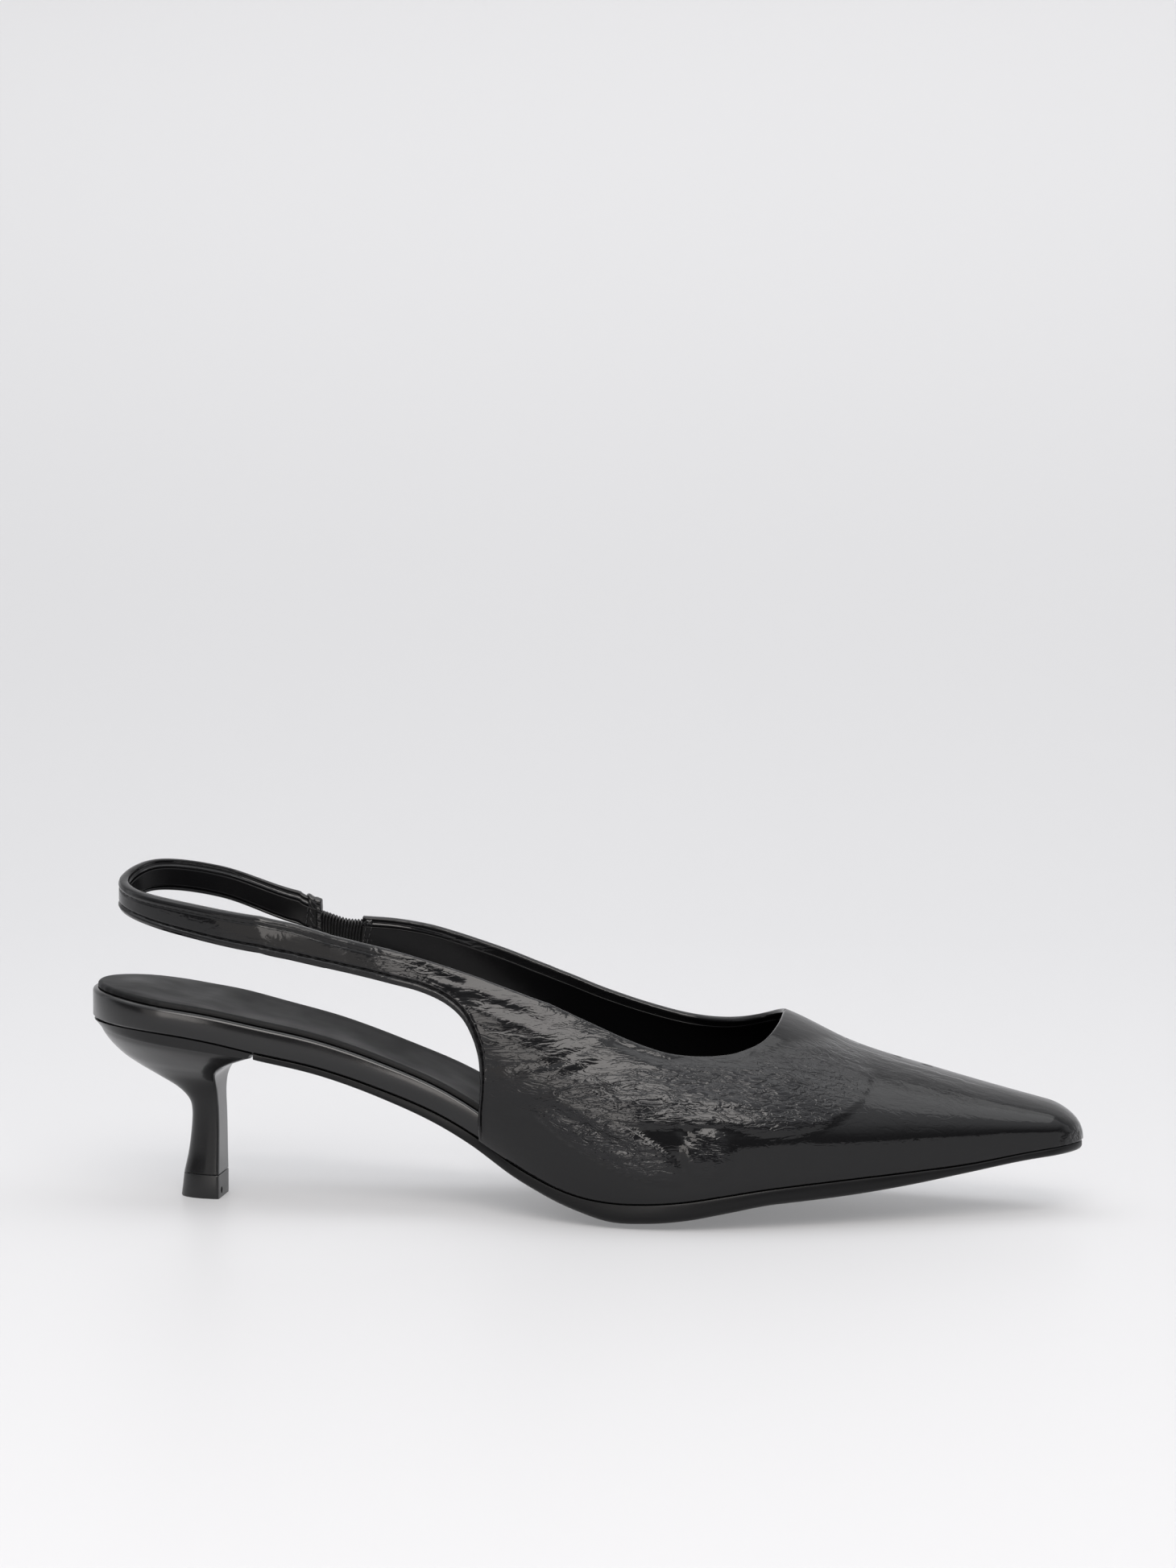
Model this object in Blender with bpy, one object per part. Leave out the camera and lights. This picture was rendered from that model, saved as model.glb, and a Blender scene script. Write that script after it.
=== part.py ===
"""Pointed slingback pump on a kitten heel, one right shoe, toe toward +X, floor at z = 0."""

import math

import bmesh
import bpy
import numpy as np

# Overall sizes, metres.
SHOE_LENGTH = 0.2600
BALL_WIDTH = 0.0800
STRAP_TOP_HEIGHT = 0.0880
SEAT_HEIGHT = 0.0450

# Walls, edges and clearances.
FIT_GAP = 0.0003
UPPER_WALL = 0.0016
STRAP_THICKNESS = 0.0024
ELASTIC_THICKNESS = 0.0012
ELASTIC_INSET = 0.0006
ELASTIC_END_GAP = 0.0005
EDGE_ROLL = 0.0005
SEAT_RADIUS = 0.0262
TOE_RADIUS = 0.0085
TOE_NOSE_LENGTH = 0.0088
RIM_EDGE_RADIUS = 0.0012
RIM_FOOT_RADIUS = 0.0007
FOOTBED_TOE_MARGIN = 0.0030
SOCK_INSET = 0.0014
SOCK_THICKNESS = 0.0015
SOCK_TOE_MARGIN = 0.0120
SOCK_EDGE_RADIUS = 0.0012
SOCK_CROWN = 0.0007
HEEL_PAD_RISE = 0.0014
HEEL_PAD_START = 0.0060
HEEL_PAD_END = 0.0400
HEEL_PAD_RAMP = 0.0100
SOLE_MARGIN = 0.0005
SOLE_EDGE_ROUND = 0.0016
SOLE_WAIST_INSET = 0.0004
SOLE_STEP_X = 0.1020
SOLE_STEP_RUN = 0.0140
WAIST_ROUND = 0.35

# Heel and top lift.
TOP_LIFT_HEIGHT = 0.0062
TOP_LIFT_WIDTH = 0.0126
LIFT_EDGE = 0.0004
LIFT_FLARE = 0.07
HEEL_INSET = 0.0008
HEEL_BACK_ROUND = 0.0032
HEEL_LIP_X = 0.0470

# Strap loop and its elastic.
LOOP_BACK_X = 0.0070
LOOP_FRONT_X = 0.0500
LOOP_HALF_WIDTH = 0.0268
STRAP_END_X = 0.0562

HALF_BALL = BALL_WIDTH / 2
WALL_OFFSET = UPPER_WALL + FIT_GAP
UPPER_TIP_X = SHOE_LENGTH - SOLE_MARGIN
HEEL_FOOT_Z = TOP_LIFT_HEIGHT + FIT_GAP
HEEL_HEIGHT = SEAT_HEIGHT - HEEL_FOOT_Z

# Plan of the lasted outline: x as a share of the length, the rest as shares of half the ball width.
PLAN_COLUMNS = ("x", "centre", "half")
PLAN = (
    (0.000, 0.000, 0.655),
    (0.096, 0.000, 0.655),
    (0.135, -0.002, 0.645),
    (0.181, -0.008, 0.608),
    (0.231, -0.015, 0.565),
    (0.288, -0.025, 0.532),
    (0.346, -0.035, 0.530),
    (0.385, -0.037, 0.556),
    (0.423, -0.038, 0.604),
    (0.462, -0.038, 0.688),
    (0.500, -0.030, 0.786),
    (0.538, -0.022, 0.868),
    (0.577, -0.010, 0.922),
    (0.615, 0.003, 0.940),
    (0.654, 0.015, 0.922),
    (0.692, 0.023, 0.870),
    (0.731, 0.027, 0.795),
    (0.769, 0.030, 0.708),
    (0.808, 0.034, 0.620),
    (0.846, 0.040, 0.533),
    (0.885, 0.049, 0.445),
    (0.923, 0.060, 0.358),
    (0.962, 0.075, 0.272),
    (1.000, 0.090, 0.185),
)

# Bed line: edge height, crown, outsole and footbed thickness as shares of the seat height.
BED_COLUMNS = ("x", "edge", "crown", "sole", "footbed")
BED = (
    (0.000, 1.064, 0.000, 0.033, 0.186),
    (0.085, 1.018, 0.000, 0.033, 0.160),
    (0.137, 0.967, 0.000, 0.033, 0.163),
    (0.181, 0.906, 0.000, 0.033, 0.168),
    (0.246, 0.818, 0.000, 0.036, 0.168),
    (0.308, 0.700, 0.002, 0.044, 0.167),
    (0.373, 0.548, 0.008, 0.058, 0.164),
    (0.402, 0.457, 0.012, 0.062, 0.162),
    (0.423, 0.384, 0.016, 0.064, 0.157),
    (0.444, 0.314, 0.022, 0.066, 0.149),
    (0.465, 0.254, 0.028, 0.068, 0.139),
    (0.485, 0.207, 0.034, 0.073, 0.127),
    (0.512, 0.164, 0.042, 0.083, 0.112),
    (0.538, 0.145, 0.050, 0.102, 0.098),
    (0.577, 0.144, 0.053, 0.104, 0.082),
    (0.615, 0.162, 0.052, 0.101, 0.074),
    (0.654, 0.196, 0.047, 0.094, 0.068),
    (0.692, 0.227, 0.043, 0.086, 0.064),
    (0.731, 0.253, 0.039, 0.076, 0.060),
    (0.769, 0.276, 0.035, 0.067, 0.058),
    (0.827, 0.314, 0.028, 0.059, 0.056),
    (0.885, 0.350, 0.021, 0.055, 0.054),
    (0.942, 0.382, 0.013, 0.053, 0.052),
    (1.000, 0.410, 0.006, 0.052, 0.050),
)

# Last above the bed: widths as shares of half the ball width, heights of the strap top height.
LAST_COLUMNS = ("x", "widest", "widest_height", "ridge_side", "ridge_height", "peak")
LAST = (
    (0.181, 0.665, 0.800, 0.020, 1.180, 1.00),
    (0.231, 0.690, 0.750, 0.030, 1.150, 1.00),
    (0.331, 0.755, 0.660, 0.040, 1.115, 1.00),
    (0.385, 0.780, 0.570, 0.050, 1.045, 1.05),
    (0.423, 0.800, 0.500, 0.060, 0.975, 1.10),
    (0.462, 0.828, 0.430, 0.070, 0.905, 1.15),
    (0.512, 0.898, 0.320, 0.080, 0.812, 1.22),
    (0.577, 0.985, 0.245, 0.095, 0.705, 1.30),
    (0.635, 0.992, 0.228, 0.105, 0.628, 1.34),
    (0.700, 0.902, 0.240, 0.105, 0.583, 1.30),
    (0.769, 0.748, 0.240, 0.095, 0.483, 1.22),
    (0.854, 0.548, 0.246, 0.090, 0.412, 1.12),
    (0.923, 0.370, 0.257, 0.090, 0.368, 1.05),
    (0.962, 0.280, 0.262, 0.090, 0.345, 1.00),
    (1.000, 0.190, 0.268, 0.090, 0.320, 1.00),
)

# Side openings: topline and opening edge, x as shares of the length, heights of the strap top.
QUARTER_COLUMNS = ("row", "top_x", "near_top", "far_top", "edge_x", "near_edge", "far_edge")
QUARTER = (
    (0, 0.259, 0.823, 0.817, 0.256, 0.734, 0.718),
    (1, 0.292, 0.802, 0.810, 0.290, 0.715, 0.695),
    (2, 0.327, 0.780, 0.793, 0.325, 0.693, 0.668),
    (3, 0.358, 0.755, 0.768, 0.354, 0.673, 0.640),
    (4, 0.385, 0.731, 0.743, 0.378, 0.643, 0.608),
    (5, 0.406, 0.711, 0.723, 0.395, 0.603, 0.572),
    (6, 0.423, 0.693, 0.705, 0.405, 0.555, 0.530),
    (7, 0.438, 0.677, 0.688, 0.412, 0.495, 0.480),
    (8, 0.452, 0.662, 0.673, 0.414, 0.432, 0.424),
    (9, 0.463, 0.650, 0.660, 0.413, 0.364, 0.360),
    (10, 0.473, 0.640, 0.649, 0.410, 0.295, 0.295),
    (11, 0.481, 0.632, 0.640, 0.408, 0.193, 0.193),
)

# Vamp ribs from the opening to the toe centre: topline, feather and how long a rib stays on top.
VAMP_COLUMNS = ("row", "top_x", "near_top", "far_top", "feather_x", "dive")
VAMP = (
    (0, 0.481, 0.632, 0.640, 0.408, 1.00),
    (1, 0.504, 0.601, 0.613, 0.436, 1.00),
    (2, 0.527, 0.571, 0.589, 0.467, 1.00),
    (3, 0.550, 0.542, 0.567, 0.505, 1.00),
    (4, 0.573, 0.516, 0.548, 0.550, 1.00),
    (5, 0.594, 0.497, 0.534, 0.600, 0.96),
    (6, 0.615, 0.487, 0.526, 0.654, 0.90),
    (7, 0.635, 0.484, 0.525, 0.712, 0.80),
    (8, 0.654, 0.488, 0.531, 0.773, 0.68),
    (9, 0.669, 0.498, 0.541, 0.835, 0.56),
    (10, 0.683, 0.513, 0.555, 0.892, 0.45),
    (11, 0.693, 0.535, 0.568, 0.942, 0.33),
    (12, 0.700, 0.560, 0.577, 0.978, 0.20),
    (13, 0.703, 0.581, 0.581, 0.998, 0.03),
)

# Strap loop: near side, half turn round the back, far side, with edge heights of the strap top.
LOOP_COLUMNS = ("row", "top", "bottom")
LOOP = (
    (0, 0.823, 0.734),
    (1, 0.849, 0.752),
    (2, 0.868, 0.770),
    (3, 0.900, 0.810),
    (4, 0.927, 0.848),
    (5, 0.961, 0.880),
    (6, 0.996, 0.911),
    (7, 0.968, 0.881),
    (8, 0.890, 0.795),
    (9, 0.866, 0.772),
)
LOOP_TURN_START = 2
LOOP_TURN_END = 8

# Elastic between the strap end and the far ear, edge heights of the strap top.
ELASTIC_COLUMNS = ("run", "top", "bottom")
ELASTIC = (
    (0.0, 0.838, 0.762),
    (0.3, 0.822, 0.757),
    (0.6, 0.806, 0.750),
    (1.0, 0.803, 0.734),
)

# Heel rings: heights as shares of the heel's height over the top lift, x of the heel's lip,
# half width of the top lift's half width.
HEEL_COLUMNS = ("row", "back_height", "front_height", "back_x", "front_x", "half", "seat")
HEEL = (
    (0, 0.000, 0.000, 0.504, 0.728, 1.00, 0.00),
    (1, 0.143, 0.143, 0.530, 0.728, 0.94, 0.00),
    (2, 0.299, 0.299, 0.547, 0.728, 0.89, 0.00),
    (3, 0.428, 0.428, 0.551, 0.726, 0.87, 0.00),
    (4, 0.507, 0.507, 0.532, 0.723, 0.89, 0.00),
    (5, 0.584, 0.584, 0.468, 0.721, 1.00, 0.02),
    (6, 0.662, 0.649, 0.362, 0.721, 1.27, 0.08),
    (7, 0.741, 0.701, 0.255, 0.732, 1.71, 0.20),
    (8, 0.818, 0.745, 0.170, 0.766, 2.25, 0.40),
    (9, 0.904, 0.787, 0.105, 0.826, 2.82, 0.62),
    (10, 0.974, 0.827, 0.070, 0.904, 3.28, 0.84),
    (11, 1.028, 0.857, 0.050, 0.979, 3.56, 0.96),
)

# Mesh steps.
VAMP_STEPS = 2
VAMP_TOE_ROW = 11
VAMP_TOE_STEPS = 4
LOOP_STEPS = 4
RIB_POINTS = 10
OUTLINE_STATIONS = 42
CAP_COLUMNS = 6
SOCK_COLUMNS = 8
ELASTIC_STATIONS = 6
HEEL_ARC_POINTS = 13
HEEL_FRONT_POINTS = 4
UNDER_ANGLE = math.radians(60)
SHARP_ANGLE = math.radians(35)
WALL_BLEND_ROWS = 4
TOE_CROWDING = 0.7
SIDE_FLARE_POWER = 1.6
TOE_TRIM_POWER = 8
END_STEP = 0.00012

# Surface colours (linear), roughness and metallic value.
MATERIALS = {
    "patent_leather": ((0.012, 0.012, 0.013), 0.16, 0.0),
    "sock_leather": ((0.014, 0.014, 0.015), 0.38, 0.0),
    "wrapped_rim": ((0.012, 0.012, 0.012), 0.24, 0.0),
    "outsole_leather": ((0.010, 0.010, 0.011), 0.42, 0.0),
    "heel_gloss": ((0.011, 0.011, 0.012), 0.20, 0.0),
    "lift_rubber": ((0.016, 0.016, 0.016), 0.55, 0.0),
    "ribbed_elastic": ((0.013, 0.013, 0.014), 0.80, 0.0),
}


def read_table(columns, rows):
    """Return each named column of a table with its stations and slopes."""
    data = np.array(rows, dtype=float)
    stations = data[:, 0]
    table = {}
    for index, name in enumerate(columns):
        values = data[:, index]
        table[name] = (stations, values, np.gradient(values, stations))
    return table


def along(table, name, station):
    """Read one column at a station by a cubic through the rows."""
    stations, values, slopes = table[name]
    place = np.clip(station, stations[0], stations[-1])
    row = np.clip(np.searchsorted(stations, place, side="right") - 1, 0, len(stations) - 2)
    width = stations[row + 1] - stations[row]
    t = (place - stations[row]) / width
    start = (1 + 2 * t) * (1 - t) ** 2 * values[row] + t * (1 - t) ** 2 * width * slopes[row]
    end = t * t * (3 - 2 * t) * values[row + 1] + t * t * (t - 1) * width * slopes[row + 1]
    return start + end


PLAN_TABLE = read_table(PLAN_COLUMNS, PLAN)
BED_TABLE = read_table(BED_COLUMNS, BED)
LAST_TABLE = read_table(LAST_COLUMNS, LAST)
QUARTER_TABLE = read_table(QUARTER_COLUMNS, QUARTER)
VAMP_TABLE = read_table(VAMP_COLUMNS, VAMP)
LOOP_TABLE = read_table(LOOP_COLUMNS, LOOP)
ELASTIC_TABLE = read_table(ELASTIC_COLUMNS, ELASTIC)
HEEL_TABLE = read_table(HEEL_COLUMNS, HEEL)


def ease(t):
    """Return a smooth step from 0 to 1."""
    t = np.clip(t, 0.0, 1.0)
    return t * t * (3 - 2 * t)


def round_end(distance, radius):
    """Return the quarter-round factor of an end, 0 at its tip and 1 past its radius."""
    share = np.clip(distance / radius, 0.0, 1.0)
    return np.sqrt(1 - (1 - share) ** 2)


def end_factor(x):
    """Return how much of the plan width is left near the seat and the toe."""
    return round_end(x + WALL_OFFSET, SEAT_RADIUS) * round_end(UPPER_TIP_X - x, TOE_RADIUS)


def centre_line(x):
    """Return the y of the outline's centre."""
    return along(PLAN_TABLE, "centre", x / SHOE_LENGTH) * HALF_BALL


def half_outline(x):
    """Return the half width of the lasted outline, the outside of the upper's wall."""
    return along(PLAN_TABLE, "half", x / SHOE_LENGTH) * HALF_BALL * end_factor(x)


def bed_edge(x):
    """Return the height of the bed line at the outline."""
    return along(BED_TABLE, "edge", x / SHOE_LENGTH) * SEAT_HEIGHT


def bed_height(x, y):
    """Return the height of the bed, which is crowned across under the ball."""
    crown = along(BED_TABLE, "crown", x / SHOE_LENGTH) * SEAT_HEIGHT
    reach = np.clip((y - centre_line(x)) / np.maximum(half_outline(x), 0.001), -1.0, 1.0)
    return bed_edge(x) - crown * (1 - reach ** 2)


def last_section(x, side):
    """Return the widest y and height, the ridge y and height and the feather height."""
    share = x / SHOE_LENGTH
    ends = end_factor(x)
    nose = round_end(UPPER_TIP_X - x, TOE_NOSE_LENGTH)
    feather = bed_edge(x) + FIT_GAP
    centre = centre_line(x)
    widest_y = centre + side * along(LAST_TABLE, "widest", share) * HALF_BALL * ends
    ridge_y = centre + along(LAST_TABLE, "ridge_side", share) * HALF_BALL * ends
    widest_z = feather + (along(LAST_TABLE, "widest_height", share) * STRAP_TOP_HEIGHT - feather) * nose
    ridge_z = feather + (along(LAST_TABLE, "ridge_height", share) * STRAP_TOP_HEIGHT - feather) * nose
    return widest_y, widest_z, ridge_y, ridge_z, feather


def last_point(x, angle, side):
    """Return the last's surface at x and an angle, 90 degrees on the ridge."""
    widest_y, widest_z, ridge_y, ridge_z, feather = last_section(x, side)
    peak = along(LAST_TABLE, "peak", x / SHOE_LENGTH)
    if angle >= 0:
        y = ridge_y + (widest_y - ridge_y) * max(math.cos(angle), 0.0) ** peak
        z = widest_z + (ridge_z - widest_z) * math.sin(angle)
        return np.array((x, y, z))
    feather_y = centre_line(x) + side * half_outline(x)
    spread = (math.cos(angle) - math.cos(UNDER_ANGLE)) / (1 - math.cos(UNDER_ANGLE))
    y = feather_y + (widest_y - feather_y) * spread
    z = widest_z + (widest_z - feather) * math.sin(angle) / math.sin(UNDER_ANGLE)
    return np.array((x, y, z))


def last_angle(x, height, side):
    """Return the angle at which the last reaches a height."""
    _, widest_z, _, ridge_z, feather = last_section(x, side)
    if height >= widest_z:
        return math.asin(min((height - widest_z) / (ridge_z - widest_z), 1.0))
    share = (height - widest_z) / max(widest_z - feather, 0.0001)
    return math.asin(max(share, -1.0) * math.sin(UNDER_ANGLE))


def quarter_rib(row, side):
    """Return one rib of a side opening, from the topline to the opening edge."""
    name = "near" if side < 0 else "far"
    top_x = along(QUARTER_TABLE, "top_x", row) * SHOE_LENGTH
    top_z = along(QUARTER_TABLE, name + "_top", row) * STRAP_TOP_HEIGHT
    edge_x = along(QUARTER_TABLE, "edge_x", row) * SHOE_LENGTH
    edge_z = along(QUARTER_TABLE, name + "_edge", row) * STRAP_TOP_HEIGHT
    edge_z = max(edge_z, float(bed_edge(edge_x)) + FIT_GAP)
    start = last_angle(top_x, top_z, side)
    end = last_angle(edge_x, edge_z, side)
    points = []
    for share in np.linspace(0, 1, RIB_POINTS + 1):
        points.append(last_point(top_x + (edge_x - top_x) * share, start + (end - start) * share, side))
    return points


def vamp_rib(row, side):
    """Return one rib of the vamp, from the topline over the last to the feather."""
    name = "near" if side < 0 else "far"
    top_x = along(VAMP_TABLE, "top_x", row) * SHOE_LENGTH
    top_z = along(VAMP_TABLE, name + "_top", row) * STRAP_TOP_HEIGHT
    feather_x = min(along(VAMP_TABLE, "feather_x", row) * SHOE_LENGTH, UPPER_TIP_X)
    dive = max(along(VAMP_TABLE, "dive", row), VAMP[-1][5])
    start = math.radians(90) if row == VAMP[-1][0] else last_angle(top_x, top_z, side)
    crowd = 1 + TOE_CROWDING * (1 - dive)
    points = []
    for share in np.linspace(0, 1, RIB_POINTS + 1):
        reach = 1 - (1 - share) ** crowd
        angle = start + (-UNDER_ANGLE - start) * share ** (1 / dive)
        points.append(last_point(top_x + (feather_x - top_x) * reach, angle, side))
    return points


def strap_line(top, bottom):
    """Return a straight rib between two edge points."""
    points = []
    for share in np.linspace(0, 1, RIB_POINTS + 1):
        points.append(top + (bottom - top) * share)
    return points


def side_plan(x, height, side):
    """Return the y of the strap's straight side, which runs into the last's surface."""
    join_x = QUARTER[0][1] * SHOE_LENGTH
    join_y = last_point(join_x, last_angle(join_x, height, side), side)[1]
    share = np.clip((x - LOOP_FRONT_X) / (join_x - LOOP_FRONT_X), 0.0, 1.0)
    return side * LOOP_HALF_WIDTH + (join_y - side * LOOP_HALF_WIDTH) * share ** SIDE_FLARE_POWER


def loop_rib(row):
    """Return one rib of the strap loop, from the near side round the back to the far side."""
    top_z = along(LOOP_TABLE, "top", row) * STRAP_TOP_HEIGHT
    bottom_z = along(LOOP_TABLE, "bottom", row) * STRAP_TOP_HEIGHT
    if row < LOOP_TURN_START:
        share = row / LOOP_TURN_START
        top_x = QUARTER[0][1] * SHOE_LENGTH * (1 - share) + LOOP_FRONT_X * share
        bottom_x = QUARTER[0][4] * SHOE_LENGTH * (1 - share) + LOOP_FRONT_X * share
        top = np.array((top_x, side_plan(top_x, top_z, -1), top_z))
        return strap_line(top, np.array((bottom_x, side_plan(bottom_x, bottom_z, -1), bottom_z)))
    if row > LOOP_TURN_END:
        x = LOOP_FRONT_X + (STRAP_END_X - LOOP_FRONT_X) * (row - LOOP_TURN_END)
        top = np.array((x, side_plan(x, top_z, 1), top_z))
        return strap_line(top, np.array((x, side_plan(x, bottom_z, 1), bottom_z)))
    turn = math.pi * (row - LOOP_TURN_START) / (LOOP_TURN_END - LOOP_TURN_START)
    x = LOOP_FRONT_X - (LOOP_FRONT_X - LOOP_BACK_X) * math.sin(turn)
    y = -LOOP_HALF_WIDTH * math.cos(turn)
    return strap_line(np.array((x, y, top_z)), np.array((x, y, bottom_z)))


def vamp_stations():
    """Return the table rows at which vamp ribs stand, closer together round the toe."""
    side = np.arange(0, VAMP_TOE_ROW, 1 / VAMP_STEPS)
    toe = np.arange(VAMP_TOE_ROW, VAMP[-1][0], 1 / VAMP_TOE_STEPS)
    return [*side.tolist(), *toe.tolist(), VAMP[-1][0]]


def upper_ribs():
    """Return the ribs of the upper from the far ear round the throat to the far strap end."""
    ribs = []
    walls = []
    last_quarter = QUARTER[-1][0]
    vamp_rows = vamp_stations()
    for row in range(last_quarter):
        ribs.append(quarter_rib(row, 1))
        walls.append(STRAP_THICKNESS + (UPPER_WALL - STRAP_THICKNESS) * ease(row / WALL_BLEND_ROWS))
    for row in vamp_rows[:-1]:
        ribs.append(vamp_rib(row, 1))
        walls.append(UPPER_WALL)
    for row in vamp_rows[:0:-1]:
        ribs.append(vamp_rib(row, -1))
        walls.append(UPPER_WALL)
    for row in range(last_quarter, 0, -1):
        ribs.append(quarter_rib(row, -1))
        walls.append(STRAP_THICKNESS + (UPPER_WALL - STRAP_THICKNESS) * ease(row / WALL_BLEND_ROWS))
    for step in range(LOOP[-1][0] * LOOP_STEPS + 1):
        ribs.append(loop_rib(step / LOOP_STEPS))
        walls.append(STRAP_THICKNESS)
    return np.array(ribs), np.array(walls)


class Sketch:
    """Vertices and faces of one closed body."""

    def __init__(self):
        self.points = []
        self.faces = []

    def add(self, points):
        """Add points and return their indices as an array of the same layout."""
        grid = np.asarray(points, dtype=float)
        start = len(self.points)
        flat = grid.reshape(-1, 3)
        self.points.extend(flat.tolist())
        return np.arange(start, start + len(flat)).reshape(grid.shape[:-1])

    def skin(self, grid, closed=False):
        """Add the faces between the rows of an index grid."""
        rows, columns = grid.shape
        for row in range(rows - 1):
            for column in range(columns if closed else columns - 1):
                beside = (column + 1) % columns
                corners = (grid[row, column], grid[row, beside], grid[row + 1, beside], grid[row + 1, column])
                self.faces.append(tuple(int(corner) for corner in corners))

    def face(self, corners):
        """Add one face."""
        self.faces.append(tuple(int(corner) for corner in corners))


def make_material(name):
    """Create one plain Principled material."""
    colour, roughness, metallic = MATERIALS[name]
    material = bpy.data.materials.new(name)
    material.use_nodes = True
    shader = material.node_tree.nodes["Principled BSDF"]
    shader.inputs["Base Color"].default_value = (*colour, 1.0)
    shader.inputs["Roughness"].default_value = roughness
    shader.inputs["Metallic"].default_value = metallic
    material.diffuse_color = (*colour, 1.0)
    return material


def build_object(name, sketch, material):
    """Turn a sketch into an object with outward faces and smooth shading."""
    mesh = bpy.data.meshes.new(name)
    mesh.from_pydata(sketch.points, [], sketch.faces)
    body = bmesh.new()
    body.from_mesh(mesh)
    bmesh.ops.recalc_face_normals(body, faces=body.faces)
    if body.calc_volume(signed=True) < 0:
        bmesh.ops.reverse_faces(body, faces=body.faces)
    body.to_mesh(mesh)
    body.free()
    mesh.shade_smooth()
    mesh.set_sharp_from_angle(angle=SHARP_ANGLE)
    mesh.materials.append(make_material(material))
    item = bpy.data.objects.new(name, mesh)
    bpy.context.scene.collection.objects.link(item)
    return item


def outward(grid):
    """Return unit normals of a rib grid."""
    across = np.gradient(grid, axis=0)
    down = np.gradient(grid, axis=1)
    normals = np.cross(across, down)
    return normals / np.linalg.norm(normals, axis=2, keepdims=True)


def walled_ribbon(name, outer, walls, material, roll):
    """Build a closed wall from a rib grid, with rolled long edges."""
    sketch = Sketch()
    inner = outer - outward(outer) * np.asarray(walls)[:, None, None]
    top_roll = (outer[:, 0] + inner[:, 0]) / 2 + unit(outer[:, 0] - outer[:, 1]) * roll
    bottom_roll = (outer[:, -1] + inner[:, -1]) / 2
    ring = np.concatenate(
        (outer, bottom_roll[:, None], inner[:, ::-1], top_roll[:, None]), axis=1
    )
    grid = sketch.add(ring)
    sketch.skin(grid, closed=True)
    for end in (0, -1):
        cap_ring(sketch, grid[end], outer.shape[1])
    return build_object(name, sketch, material)


def unit(vectors):
    """Return vectors scaled to length one."""
    return vectors / np.linalg.norm(vectors, axis=-1, keepdims=True)


def cap_ring(sketch, ring, count):
    """Close the end of a ribbon with strips between its outer and inner edge."""
    outer = ring[:count]
    inner = ring[count + 1:2 * count + 1][::-1]
    bottom_roll = ring[count]
    top_roll = ring[2 * count + 1]
    for index in range(count - 1):
        sketch.face((outer[index], outer[index + 1], inner[index + 1], inner[index]))
    sketch.face((outer[0], inner[0], top_roll))
    sketch.face((outer[-1], inner[-1], bottom_roll))


def outline_stations(start, end, count, round_start):
    """Return x stations that crowd toward the round ends."""
    t = np.linspace(0, 1, count + 1)
    share = (1 - np.cos(np.pi * t)) / 2 if round_start else np.sin(np.pi * t / 2)
    return start + END_STEP * round_start + (end - start - END_STEP * (1 + round_start)) * share


def offset_loop(x, outset):
    """Return near and far outline points moved outward in plan by an outset."""
    near = np.stack((x, centre_line(x) - half_outline(x)), axis=1)
    far = np.stack((x, centre_line(x) + half_outline(x)), axis=1)
    loop = np.concatenate((near, far[::-1]))
    before = np.roll(loop, 1, axis=0)
    after = np.roll(loop, -1, axis=0)
    along_loop = unit(after - before)
    normal = np.stack((along_loop[:, 1], -along_loop[:, 0]), axis=1)
    amount = np.concatenate((outset, outset[::-1]))
    moved = loop + normal * amount[:, None]
    count = len(x)
    return moved[:count], moved[count:][::-1]


def plate(name, levels, columns, bottom_height, top_height, material):
    """Build a plate from outline levels, bottom to top, with crowned faces."""
    sketch = Sketch()
    grids = []
    for near, far, height in levels:
        near_points = np.column_stack((near, height(near[:, 0], near[:, 1])))
        far_points = np.column_stack((far, height(far[:, 0], far[:, 1])))
        grids.append((sketch.add(near_points), sketch.add(far_points)))
    rings = []
    for near_grid, far_grid in grids:
        rings.append(np.concatenate((near_grid, far_grid[::-1])))
    sketch.skin(np.array(rings), closed=True)
    for level, height in ((0, bottom_height), (-1, top_height)):
        near, far, _ = levels[level]
        near_grid, far_grid = grids[level]
        lines = [near_grid[1:-1]]
        for column in range(1, columns):
            middle = (near + (far - near) * column / columns)[1:-1]
            lines.append(sketch.add(np.column_stack((middle, height(middle[:, 0], middle[:, 1])))))
        lines.append(far_grid[1:-1])
        cap = np.array(lines)
        sketch.skin(cap)
        sketch.face((near_grid[0], *cap[:, 0], far_grid[0]))
        sketch.face((near_grid[-1], *cap[:, -1], far_grid[-1]))
    return build_object(name, sketch, material)


def footbed_depth(x):
    """Return the height of the wrapped footbed above the bed."""
    return along(BED_TABLE, "footbed", x / SHOE_LENGTH) * SEAT_HEIGHT


def footbed_top(x, y):
    """Return the height of the footbed's top face."""
    return bed_height(x, y) + footbed_depth(x)


def trim_toe(line, margin):
    """Draw an outline line back so that a piece ends a margin before the toe."""
    x = line[:, 0]
    return np.column_stack((x - margin * np.clip(x / UPPER_TIP_X, 0.0, 1.0) ** TOE_TRIM_POWER, line[:, 1]))


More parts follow.
